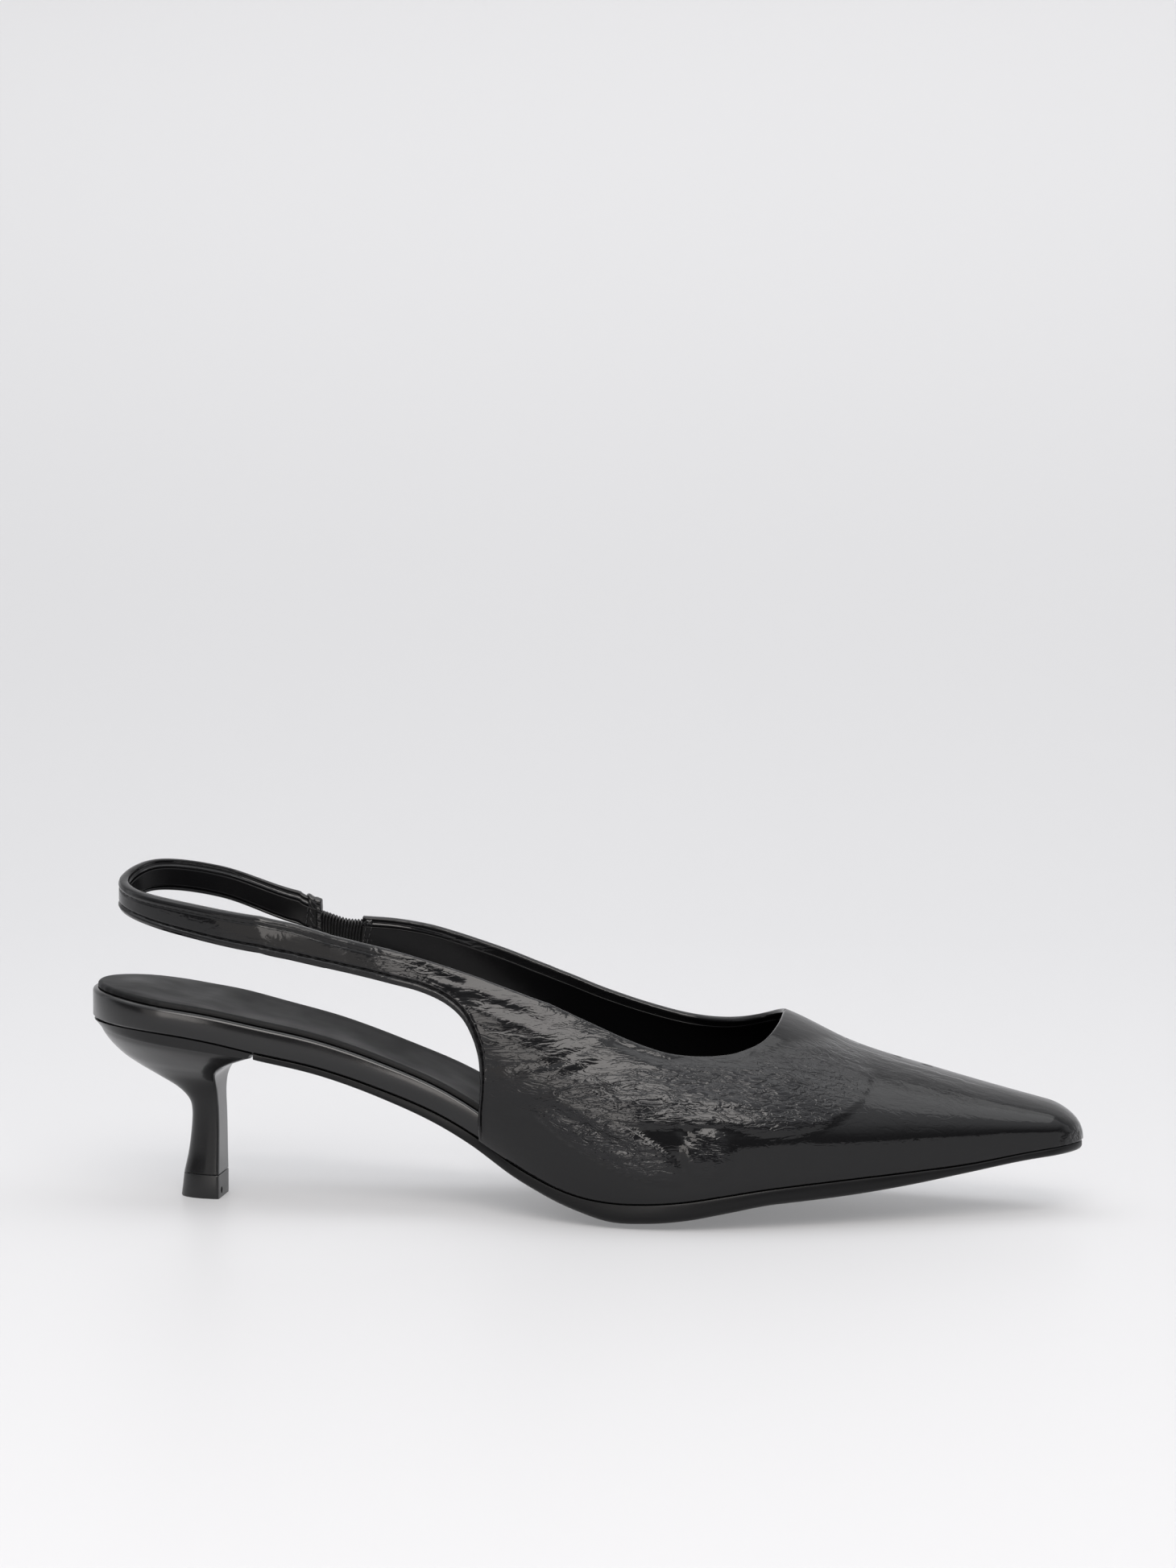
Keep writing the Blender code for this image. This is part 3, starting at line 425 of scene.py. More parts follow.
    def angle(self, x: float, height: float) -> float:
        """Return the angle at which the last reaches a height.

        Args:
            x: Distance from the rim's back.
            height: The height above the floor.

        Returns:
            The angle, negative below the widest place.
        """
        feather, widest, ridge = self.heights(x)
        if height >= widest:
            return math.asin(min((height - widest) / (ridge - widest), 1.0))
        depth = (height - widest) / max(widest - feather, 0.1 * MM)
        return math.asin(max(depth, -1.0) * math.sin(UNDER_ANGLE))

    def side_plan(self, x: float, height: float, side: Side) -> float:
        """Return the y of the strap's straight side, which runs into the last's surface.

        Args:
            x: Distance from the rim's back.
            height: The height above the floor.
            side: Which side of the shoe.

        Returns:
            The place across.
        """
        join_x = QUARTER[0][1] * SHOE_LENGTH
        share = np.clip((x - LOOP_FRONT_X) / (join_x - LOOP_FRONT_X), 0.0, 1.0)
        flare = SIDE_LINEAR_SHARE * share + (1 - SIDE_LINEAR_SHARE) * share ** SIDE_FLARE_POWER
        return side.value * LOOP_HALF_WIDTH + self.flare(height, side) * flare

    def flare(self, height: float, side: Side) -> float:
        """Return how far the strap's side moves in y between the loop and the ear.

        Args:
            height: The height above the floor.
            side: Which side of the shoe.

        Returns:
            The distance, outward on the far side.
        """
        join_x = QUARTER[0][1] * SHOE_LENGTH
        join_y = self.point(join_x, self.angle(join_x, height), side)[1]
        return float(join_y) - side.value * LOOP_HALF_WIDTH

    def quarter_rib(self, row: float, side: Side, shares: np.ndarray) -> np.ndarray:
        """Return one rib of a side opening, from the topline to the opening edge.

        Args:
            row: Row of the quarter table.
            side: Which side of the shoe.
            shares: Where along the rib the points stand, from 0 to 1.

        Returns:
            The points of the rib.
        """
        name = "near" if side is Side.NEAR else "far"
        top_x = self.quarter.read("top_x", row) * SHOE_LENGTH
        top_z = self.quarter.read(name + "_top", row) * STRAP_TOP_HEIGHT
        edge_x = self.quarter.read("edge_x", row) * SHOE_LENGTH
        edge_z = self.quarter.read(name + "_edge", row) * STRAP_TOP_HEIGHT
        edge_z = max(edge_z, float(self.bed_edge(edge_x)) + FIT_GAP)
        start = self.angle(top_x, top_z)
        end = self.angle(edge_x, edge_z)
        return self.point(top_x + (edge_x - top_x) * shares, start + (end - start) * shares, side)

    def vamp_rib(self, row: float, side: Side, shares: np.ndarray) -> np.ndarray:
        """Return one rib of the vamp, from the topline over the last to the feather.

        Args:
            row: Row of the vamp table.
            side: Which side of the shoe.
            shares: Where along the rib the points stand, from 0 to 1.

        Returns:
            The points of the rib.
        """
        name = "near" if side is Side.NEAR else "far"
        top_x = self.vamp.read("top_x", row) * SHOE_LENGTH
        top_z = self.vamp.read(name + "_top", row) * STRAP_TOP_HEIGHT
        feather_x = min(self.vamp.read("feather_x", row) * SHOE_LENGTH, UPPER_TIP_X)
        dive = max(self.vamp.read("dive", row), VAMP[-1][5])
        start = math.radians(90) if row == self.vamp.last_row else self.angle(top_x, top_z)
        crowd = 1 + TOE_CROWDING * (1 - dive)
        reach = 1 - (1 - shares) ** crowd
        angle = start + (-UNDER_ANGLE - start) * shares ** (1 / dive)
        return self.point(top_x + (feather_x - top_x) * reach, angle, side)

    def loop_rib(self, row: float, shares: np.ndarray) -> np.ndarray:
        """Return one rib of the strap loop, from the near side round the back to the far side.

        Args:
            row: Row of the loop table.
            shares: Where along the rib the points stand, from 0 to 1.

        Returns:
            The points of the rib.
        """
        top_z = self.loop.read("top", row) * STRAP_TOP_HEIGHT
        bottom_z = self.loop.read("bottom", row) * STRAP_TOP_HEIGHT
        if row < LOOP_TURN_START:
            share = row / LOOP_TURN_START
            top_x = QUARTER[0][1] * SHOE_LENGTH * (1 - share) + LOOP_FRONT_X * share
            bottom_x = QUARTER[0][4] * SHOE_LENGTH * (1 - share) + LOOP_FRONT_X * share
            top = np.array((top_x, self.side_plan(top_x, top_z, Side.NEAR), top_z))
            bottom = np.array((bottom_x, self.side_plan(bottom_x, bottom_z, Side.NEAR), bottom_z))
        elif row > LOOP_TURN_END:
            x = LOOP_FRONT_X + (STRAP_END_X - LOOP_FRONT_X) * (row - LOOP_TURN_END)
            top = np.array((x, self.side_plan(x, top_z, Side.FAR), top_z))
            bottom = np.array((x, self.side_plan(x, bottom_z, Side.FAR), bottom_z))
        else:
            turn = math.pi * (row - LOOP_TURN_START) / (LOOP_TURN_END - LOOP_TURN_START)
            depth = LOOP_FRONT_X - LOOP_BACK_X
            x = LOOP_FRONT_X - depth * math.sin(turn)
            side = Side.NEAR if turn < math.pi / 2 else Side.FAR
            straight = QUARTER[0][1] * SHOE_LENGTH - LOOP_FRONT_X
            edges = []
            for column, z in ((2, top_z), (5, bottom_z)):
                height = QUARTER[0][column] * STRAP_TOP_HEIGHT
                slope = SIDE_LINEAR_SHARE * abs(self.flare(height, side)) / straight
                width = LOOP_HALF_WIDTH - slope * depth * math.sin(turn)
                edges.append(np.array((x, -width * math.cos(turn), z)))
            top, bottom = edges
        return top + (bottom - top) * shares[:, None]


def clear_selection() -> None:
    """Leave edit mode and deselect everything."""
    if bpy.context.object and bpy.context.object.mode != "OBJECT":
        bpy.ops.object.mode_set(mode="OBJECT")
    bpy.ops.object.select_all(action="DESELECT")


def activate(piece: bpy.types.Object) -> None:
    """Select one piece alone and make it active.

    Args:
        piece: The piece.
    """
    clear_selection()
    piece.select_set(True)
    bpy.context.view_layer.objects.active = piece


def close_seams(piece: bpy.types.Object) -> None:
    """Merge doubled points, drop faces without area and turn the faces outward.

    Args:
        piece: The piece to close.
    """
    activate(piece)
    bpy.ops.object.mode_set(mode="EDIT")
    bpy.ops.mesh.select_all(action="SELECT")
    bpy.ops.mesh.remove_doubles(threshold=MERGE_DISTANCE)
    bpy.ops.mesh.dissolve_degenerate(threshold=DEGENERATE_SIZE)
    bpy.ops.mesh.normals_make_consistent(inside=False)
    bpy.ops.object.mode_set(mode="OBJECT")


def smooth(piece: bpy.types.Object, sharp_degrees: float = 50.0) -> None:
    """Shade a piece smooth apart from its sharp edges."""
    activate(piece)
    bpy.ops.object.shade_smooth_by_angle(angle=math.radians(sharp_degrees))


def lay_grid(name: str, places: np.ndarray, sharp_degrees: float = 50.0) -> bpy.types.Object:
    """Add a grid and lay its points at their places, like a sheet smoothed over a form.

    Args:
        name: The piece's name.
        places: Rows of points in the CAD frame; doubled points at a seam are merged.
        sharp_degrees: Edges sharper than this stay sharp.

    Returns:
        The new piece, closed where its rows meet.
    """
    rows, columns = places.shape[:2]
    clear_selection()
    bpy.ops.mesh.primitive_grid_add(x_subdivisions=columns - 1, y_subdivisions=rows - 1, size=1.0)
    piece = bpy.context.object
    piece.name = name
    mesh = piece.data
    mesh.name = name
    flat = np.empty(len(mesh.vertices) * 3)
    mesh.vertices.foreach_get("co", flat)
    flat = flat.reshape(-1, 3)
    column = np.rint((flat[:, 0] + 0.5) * (columns - 1)).astype(int)
    row = np.rint((flat[:, 1] + 0.5) * (rows - 1)).astype(int)
    mesh.vertices.foreach_set("co", places[row, column].ravel())
    mesh.update()
    close_seams(piece)
    smooth(piece, sharp_degrees)
    return piece


def to_frame(points: np.ndarray) -> np.ndarray:
    """Move points from the rim's back to the CAD frame."""
    return points + np.array((RIM_BACK_X, 0.0, 0.0))


def normals_of(grid: np.ndarray) -> np.ndarray:
    """Return the outward unit normals of a rib grid.

    Args:
        grid: Ribs of points, top to bottom.

    Returns:
        One normal per point; where a rib runs along its edge it takes the normal above.
    """
    across = unit(np.gradient(grid, axis=0))
    down = unit(np.gradient(grid, axis=1))
    turned = np.cross(across, down)
    trust = ease(np.linalg.norm(turned, axis=2, keepdims=True) / 0.6)
    normal = unit(turned)
    for column in range(1, grid.shape[1]):
        kept = normal[:, column] * trust[:, column] + normal[:, column - 1] * (1 - trust[:, column])
        normal[:, column] = unit(kept)
    return normal


def run_of(line: np.ndarray) -> np.ndarray:
    """Return the distance of each point of a line from its start."""
    steps = np.linalg.norm(np.diff(line, axis=0), axis=1)
    return np.concatenate(((0.0,), np.cumsum(steps)))


def read_along(run: np.ndarray, values: np.ndarray, places: np.ndarray) -> np.ndarray:
    """Read points or directions at given distances along a line.

    Args:
        run: Distance of each point from the line's start.
        values: What each point holds, three numbers each.
        places: Distances to read at.

    Returns:
        Three numbers per place.
    """
    return np.stack([np.interp(places, run, values[:, axis]) for axis in range(3)], axis=1)


def wall_rings(
    outer: np.ndarray, normal: np.ndarray, wall: np.ndarray, roll: float, corners: int = 5,
) -> np.ndarray:
    """Return closed rings round a wall: outer face, lower edge, inner face, upper edge.

    Args:
        outer: Rib grid of the outer face, top to bottom.
        normal: Outward normals of the grid.
        wall: Thickness of each rib.
        roll: How far the rounded edges stand beyond the rib's ends.
        corners: Points in each rounded edge.

    Returns:
        One ring per rib, its first point repeated at the end.
    """
    inner = outer - normal * wall[:, None, None]
    turns = np.linspace(0, math.pi, corners + 2)[1:-1]
    edges = []
    for end, beside in ((-1, -2), (0, 1)):
        middle = (outer[:, end] + inner[:, end]) / 2
        half = (outer[:, end] - inner[:, end]) / 2
        out = unit(outer[:, end] - outer[:, beside]) * roll
        arc = [middle + half * math.cos(turn) + out * math.sin(turn) for turn in turns]
        edges.append(np.stack(arc, axis=1))
    lower, upper = edges
    return np.concatenate((outer, lower, inner[:, ::-1], upper[:, ::-1], outer[:, :1]), axis=1)


def capped(rings: np.ndarray, outer_count: int, corners: int, roll: float) -> np.ndarray:
    """Add rounded end rows to wall rings, so that both ends of a strip are closed.

    Args:
        rings: The wall's rings.
        outer_count: Points of a ring's outer face.
        corners: Points in each rounded edge.
        roll: How far the ends stand out.

    Returns:
        The rings with three rounded rows and one closing row at each end.
    """
    inner_start = outer_count + corners
    rows = list(rings)
    for end, beside in ((0, 1), (-1, -2)):
        ring = rings[end]
        outer = ring[:outer_count]
        inner = ring[inner_start:inner_start + outer_count][::-1]
        middle = (outer + inner) / 2
        lower = np.repeat(middle[-1:], corners, axis=0)
        upper = np.repeat(middle[:1], corners, axis=0)
        core = np.concatenate((middle, lower, middle[::-1], upper, middle[:1]))
        out = unit((rings[end] - rings[beside]).mean(axis=0)) * roll
        turns = (0.5, 1.0, 1.3, math.pi / 2)
        extra = [core + (ring - core) * math.cos(turn) + out * math.sin(turn) for turn in turns]
        rows = rows + extra if end == -1 else extra[::-1] + rows
    return np.array(rows)


@dataclass(frozen=True)
class Crease:
    """A crease of the outer quarter, placed on its side view in millimetres."""

    points: tuple[tuple[float, float], ...]
    width: float
    depth: float


@dataclass(frozen=True)
class Stitching:
    """A row of stitches: pitch, thread length, width and height above the leather."""

    pitch: float = STITCH_PITCH
    length: float = 1.75 * MM
    width: float = 0.42 * MM
    height: float = 0.30 * MM
    look: float = 0.3 * MM

    def model(self) -> tuple[np.ndarray, list[tuple[int, ...]]]:
        """Model one stitch as a small rounded thread lying along X.

        Returns:
            Its points, and its faces as point numbers.
        """
        clear_selection()
        bpy.ops.mesh.primitive_uv_sphere_add(segments=8, ring_count=6, radius=0.5)
        bpy.ops.object.mode_set(mode="EDIT")
        bpy.ops.mesh.select_all(action="SELECT")
        bpy.ops.transform.rotate(value=math.pi / 2, orient_axis="Y", center_override=(0.0, 0.0, 0.0))
        bpy.ops.transform.resize(value=(self.length, self.width, self.height))
        bpy.ops.object.mode_set(mode="OBJECT")
        thread = bpy.context.object
        points = np.array([vertex.co[:] for vertex in thread.data.vertices])
        faces = [tuple(face.vertices) for face in thread.data.polygons]
        bpy.data.objects.remove(thread)
        return points, faces

    def sew(self, name: str, line: np.ndarray, normal: np.ndarray) -> bpy.types.Object:
        """Sew one row of stitches along a line on the leather.

        Args:
            name: The piece's name.
            line: Points of the line.
            normal: Outward normal at each point.

        Returns:
            The row of stitches as one piece.
        """
        points, faces = self.model()
        length = run_of(line)
        count = max(int(length[-1] / self.pitch), 2)
        places = (np.arange(count) + 0.5) * length[-1] / count
        middle = read_along(length, line, places)
        ahead = read_along(length, line, places + self.look)
        behind = read_along(length, line, places - self.look)
        up = unit(read_along(length, normal, places))
        run = unit(ahead - behind)
        side = unit(np.cross(up, run))
        all_points = (
            middle[:, None]
            + points[None, :, :1] * run[:, None]
            + points[None, :, 1:2] * side[:, None]
            + points[None, :, 2:] * up[:, None]
        )
        all_faces = [
            tuple(corner + index * len(points) for corner in face)
            for index in range(count)
            for face in faces
        ]
        mesh = bpy.data.meshes.new(name)
        mesh.from_pydata(all_points.reshape(-1, 3).tolist(), [], all_faces)
        piece = bpy.data.objects.new(name, mesh)
        bpy.context.scene.collection.objects.link(piece)
        smooth(piece, 60.0)
        return piece


@dataclass
class Upper:
    """The patent upper with its sling strap, its lining and its stitches."""

    last: Last
    row_step: float = 0.1
    loop_stops: int = 131
    middle_columns: int = 44
    edge_places: tuple[float, ...] = (0.0, 0.2, 0.45, 0.7, 0.95, 1.2, 1.4, 1.6, 1.8, 2.0, 2.2, 2.5, 3.0)
    edge_roll: float = 0.5 * MM
    bead_height: float = 0.32 * MM
    bead_place: float = 0.75 * MM
    groove_depth: float = 0.42 * MM
    groove_place: float = 1.6 * MM
    pucker_height: float = 0.24 * MM
    pucker_place: float = 2.2 * MM
    strap_crown: float = 0.22 * MM
    foot_fade: float = 0.9
    foot_skip: float = 0.35
    lining_drop: float = 2.3 * MM
    lining_wall: float = 0.45 * MM
    creases: tuple[Crease, ...] = ()
    ribs: list[np.ndarray] = field(default_factory=list)
    walls: np.ndarray = field(default_factory=lambda: np.zeros(0))
    opening: np.ndarray = field(default_factory=lambda: np.zeros(0))
    looping: np.ndarray = field(default_factory=lambda: np.zeros(0))

    def trace_ribs(self) -> None:
        """Trace dense ribs from the far ear round the throat and the loop to the far strap end."""
        dense = np.linspace(0, 1, 181)
        last_quarter = self.last.quarter.last_row
        last_vamp = self.last.vamp.last_row
        quarter_rows = np.arange(0, last_quarter - self.foot_skip, self.row_step)
        vamp_rows = np.arange(0, last_vamp, self.row_step)
        loop_rows = np.linspace(0, self.last.loop.last_row, self.loop_stops)
        stops: list[tuple[str, float, Side]] = []
        stops += [("quarter", row, Side.FAR) for row in quarter_rows]
        stops += [("vamp", row, Side.FAR) for row in vamp_rows]
        stops += [("vamp", last_vamp, Side.NEAR)]
        stops += [("vamp", row, Side.NEAR) for row in vamp_rows[:0:-1]]
        stops += [("quarter", last_quarter, Side.NEAR)]
        stops += [("quarter", row, Side.NEAR) for row in quarter_rows[:0:-1]]
        stops += [("loop", row, Side.NEAR) for row in loop_rows]
        walls, opening, looping = [], [], []
        for zone, row, side in stops:
            if zone == "quarter":
                self.ribs.append(self.last.quarter_rib(row, side, dense))
                walls.append(STRAP_WALL + (UPPER_WALL - STRAP_WALL) * ease(row / STRAP_EASE_ROWS))
                opening.append(1.0 - ease((row - last_quarter + self.foot_fade) / self.foot_fade))
                looping.append(1.0 - ease(row / STRAP_EASE_ROWS))
            elif zone == "vamp":
                self.ribs.append(self.last.vamp_rib(row, side, dense))
                walls.append(UPPER_WALL)
                opening.append(0.0)
                looping.append(0.0)
            else:
                self.ribs.append(self.last.loop_rib(row, dense))
                walls.append(STRAP_WALL)
                opening.append(1.0)
                looping.append(1.0)
        self.walls = np.array(walls)
        self.opening = np.array(opening)
        self.looping = np.array(looping)

    def lay(
        self, top: float, bottom: float, edges: tuple[float, ...], middle: int,
    ) -> tuple[np.ndarray, np.ndarray]:
        """Lay columns on the ribs, close together along both edges.

        Args:
            top: Distance of the first column from the topline.
            bottom: Distance of the last column from the lower edge.
            edges: Distances in millimetres at which the edge columns stand.
            middle: Number of columns between.

        Returns:
            The grid of points and each point's distance from the topline and the lower edge.
        """
        grid, reach = [], []
        edge = np.array(edges) * MM
        for rib in self.ribs:
            run = run_of(rib)
            length = float(run[-1])
            start, end = top + edge, length - bottom - edge[::-1]
            inside = np.linspace(start[-1], max(end[0], start[-1] + 0.1 * MM), middle + 2)[1:-1]
            places = np.sort(np.concatenate((start, inside, end)))
            grid.append(read_along(run, rib, places))
            reach.append(np.stack((places, length - places), axis=1))
        return to_frame(np.array(grid)), np.array(reach)

    def relief(self, grid: np.ndarray, normal: np.ndarray, reach: np.ndarray) -> np.ndarray:
        """Return how far each point of the outer face stands proud of the last.

        Args:
            grid: Points of the outer face.
            normal: Its normals.
            reach: Distances from the topline and the lower edge.

        Returns:
            Heights in metres.
        """
        lower, upper = reach[:, :, 1], reach[:, :, 0]
        run = run_of(grid[:, -1])
        quick = np.sin(run * 2 * math.pi / STITCH_PITCH)
        slow = np.sin(run * 2 * math.pi / SLOW_PITCH)
        pucker = 1 + 0.22 * quick + 0.12 * slow
        bead = self.bead_height * hump(lower - self.bead_place, 0.62 * MM)
        groove = self.groove_depth * hump(lower - self.groove_place, 0.36 * MM) * pucker[:, None]
        scallop = np.maximum(np.sin(run * 2 * math.pi / STITCH_PITCH + 0.6), -0.2)
        shift = 0.22 * MM * scallop[:, None]
        gather_place = lower - self.pucker_place - shift
        gather = self.pucker_height * hump(gather_place, 0.40 * MM) * (0.55 + 0.6 * scallop[:, None])
        gather = gather * (1 - 0.75 * self.looping[:, None])
        height = (bead - groove + gather) * self.opening[:, None]
        top_bead = 0.6 * self.bead_height * hump(upper - self.bead_place, 0.62 * MM)
        top_groove = 0.6 * self.groove_depth * hump(upper - self.groove_place, 0.30 * MM)
        height = height + (top_bead - top_groove) * self.looping[:, None]
        width = np.maximum(lower + upper, MM)
        height = height + self.strap_crown * self.looping[:, None] * (1 - ((upper - lower) / width) ** 2)
        near = (normal[:, :, 1] < 0.35) & (grid[:, :, 1] < 12 * MM)
        fade = ease(lower / (3 * MM)) * ease(upper / (2.5 * MM)) * near
        side_view = grid[:, :, (0, 2)]
        for crease in self.creases:
            height = height - crease_depth(side_view, crease) * fade
        return height

    def build(self) -> list[bpy.types.Object]:
        """Build the leather, the lining and the stitches.

        Returns:
            The pieces.
        """
        self.trace_ribs()
        grid, reach = self.lay(0.0, 0.0, self.edge_places, self.middle_columns)
        normal = normals_of(grid)
        face = grid + normal * self.relief(grid, normal, reach)[:, :, None]
        corners = 5
        rings = wall_rings(face, normal, self.walls, self.edge_roll, corners)
        rings = capped(rings, face.shape[1], corners, 0.3 * MM)
        leather = lay_grid("upper_leather", rings, 70.0)
        paint_grain(leather)
        return [leather, self.line_inside(), *self.sew_rows(face, normal)]

    def line_inside(self) -> bpy.types.Object:
        """Build the lining, which starts below the turned topline and has a rounded upper edge.

        Returns:
            The lining.
        """
        grid, _ = self.lay(self.lining_drop, 0.9 * MM, (0.0, 0.3, 0.7, 1.2), 30)
        normal = normals_of(grid)
        inner = grid - normal * (self.walls[:, None, None] - 0.06 * MM)
        wall = np.full(len(inner), self.lining_wall)
        rings = wall_rings(inner, normal, wall, 0.15 * MM, 3)
        rings = capped(rings, inner.shape[1], 3, 0.1 * MM)
        return lay_grid("upper_lining", rings, 70.0)

    def sew_rows(self, face: np.ndarray, normal: np.ndarray) -> list[bpy.types.Object]:
        """Sew the rows along both side openings and the strap.

        Args:
            face: Points of the leather's outer face.
            normal: Its normals.

        Returns:
            One piece per row.
        """
        sewing = Stitching()
        from_end = self.edge_places.index(1.6) + 1
        open_rows = np.flatnonzero(self.opening > 0.5)
        gaps = np.flatnonzero(np.diff(open_rows) > 1)
        far_rows = open_rows[:gaps[0] + 1]
        near_rows = open_rows[gaps[0] + 1:]
        strap_rows = np.flatnonzero(self.looping > 0.6)
        strap_rows = strap_rows[strap_rows > near_rows[0]]
        rows = (
            ("opening_stitches_far", far_rows, -from_end),
            ("opening_stitches_near", near_rows, -from_end),
            ("strap_top_stitches", strap_rows, from_end - 1),
        )
        lift = -0.02 * MM
        return [
            sewing.sew(name, face[picked, column] + normal[picked, column] * lift, normal[picked, column])
            for name, picked, column in rows
        ]


def crease_depth(side_view: np.ndarray, crease: Crease) -> np.ndarray:
    """Return how deep a crease presses into each point of a side view.

    Args:
        side_view: Points as x and z.
        crease: The crease.

    Returns:
        Depths in metres, a trough with a low ridge along each side.
    """
    line = np.array(crease.points) * MM
    nearest = np.full(side_view.shape[:2], 1.0)
    share = np.zeros(side_view.shape[:2])
    spans = np.linalg.norm(np.diff(line, axis=0), axis=1)
    total = spans.sum()
    passed = 0.0
    for start, end, span in zip(line[:-1], line[1:], spans):
        along = np.clip(((side_view - start) @ (end - start)) / span ** 2, 0.0, 1.0)
        distance = np.linalg.norm(side_view - (start + along[..., None] * (end - start)), axis=-1)
        closer = distance < nearest
        share = np.where(closer, (passed + along * span) / total, share)
        nearest = np.where(closer, distance, nearest)
        passed += span
    width = crease.width * MM
    taper = np.sin(math.pi * np.clip(share, 0.02, 0.98)) ** 0.6
    trough = hump(nearest, width * 0.5) - 0.45 * hump(nearest - width, width * 0.55)
    return crease.depth * MM * trough * taper


Height = Callable[[np.ndarray, np.ndarray], np.ndarray]


@dataclass
class Plate:
    """A body made of outline levels, bottom to top, with crowned faces: footbed, sock or outsole."""

    name: str
    levels: list[tuple[np.ndarray, np.ndarray, Height]]
    bottom: Height
    top: Height
    columns: int = 26

    def build(self) -> bpy.types.Object:
        """Lay the plate's closed rings and close its ends.

        Returns:
            The piece.
        """
        near = [np.column_stack((line, height(line[:, 0], line[:, 1]))) for line, _, height in self.levels]
        far = [np.column_stack((line, height(line[:, 0], line[:, 1]))) for _, line, height in self.levels]
        shares = np.linspace(0, 1, self.columns + 1)[1:-1]
        upper = [self.between(near[-1], far[-1], share, self.top) for share in shares]
        lower = [self.between(near[0], far[0], share, self.bottom) for share in shares[::-1]]
        rings = np.stack([*near, *upper, *far[::-1], *lower, near[0]], axis=1)
        around = 2 * len(self.levels) + len(shares)
        opposite = np.concatenate((
            np.arange(around)[::-1],
            around + np.arange(len(shares))[::-1],
            (around - 1,),
        ))
        middle = (rings + rings[:, opposite]) / 2
        rings = np.concatenate((middle[:1], rings, middle[-1:]))
        return lay_grid(self.name, to_frame(rings), 60.0)

    @staticmethod
    def between(near: np.ndarray, far: np.ndarray, share: float, height: Height) -> np.ndarray:
        """Return the line at a share of the way across, at its own height.

        Args:
            near: The near line.
            far: The far line.
            share: 0 at the near line, 1 at the far line.
            height: The face's height at a place.

        Returns:
            The line's points.
        """
        line = near + (far - near) * share
        line[:, 2] = height(line[:, 0], line[:, 1])
        return line


def stations(start: float, end: float, count: int, round_start: bool) -> np.ndarray:
    """Return stations along the shoe that crowd toward its round ends.

    Args:
        start: The first station.
        end: The last station.
        count: Number of stations.
        round_start: Whether the start is round too.

    Returns:
        The stations, in order.
    """
    t = np.linspace(0, 1, count + 1)
    share = (1 - np.cos(np.pi * t)) / 2 if round_start else np.sin(np.pi * t / 2)
    step = 0.02 * MM
    return start + step * round_start + (end - start - step * (1 + round_start)) * share


def offset_loop(last: Last, x: np.ndarray, outset: np.ndarray | float) -> tuple[np.ndarray, np.ndarray]:
    """Return near and far outline points moved outward in plan.

    Args:
        last: The last.
        x: Stations.
        outset: How far outward, inward when negative.

    Returns:
        The near and the far line as x and y.
    """
    near = np.stack((x, last.centre_line(x) - last.half_outline(x)), axis=1)
    far = np.stack((x, last.centre_line(x) + last.half_outline(x)), axis=1)
    loop = np.concatenate((near, far[::-1]))
    run = unit(np.roll(loop, -1, axis=0) - np.roll(loop, 1, axis=0))
    normal = np.stack((run[:, 1], -run[:, 0]), axis=1)
    amount = np.broadcast_to(outset, x.shape)
    moved = loop + normal * np.concatenate((amount, amount[::-1]))[:, None]
    return moved[:len(x)], moved[len(x):][::-1]


def trim_toe(line: np.ndarray, margin: float) -> np.ndarray:
    """Draw an outline line back so that a piece ends a margin before the toe."""
    x = line[:, 0]
    return np.column_stack((x - margin * np.clip(x / UPPER_TIP_X, 0.0, 1.0) ** 8, line[:, 1]))


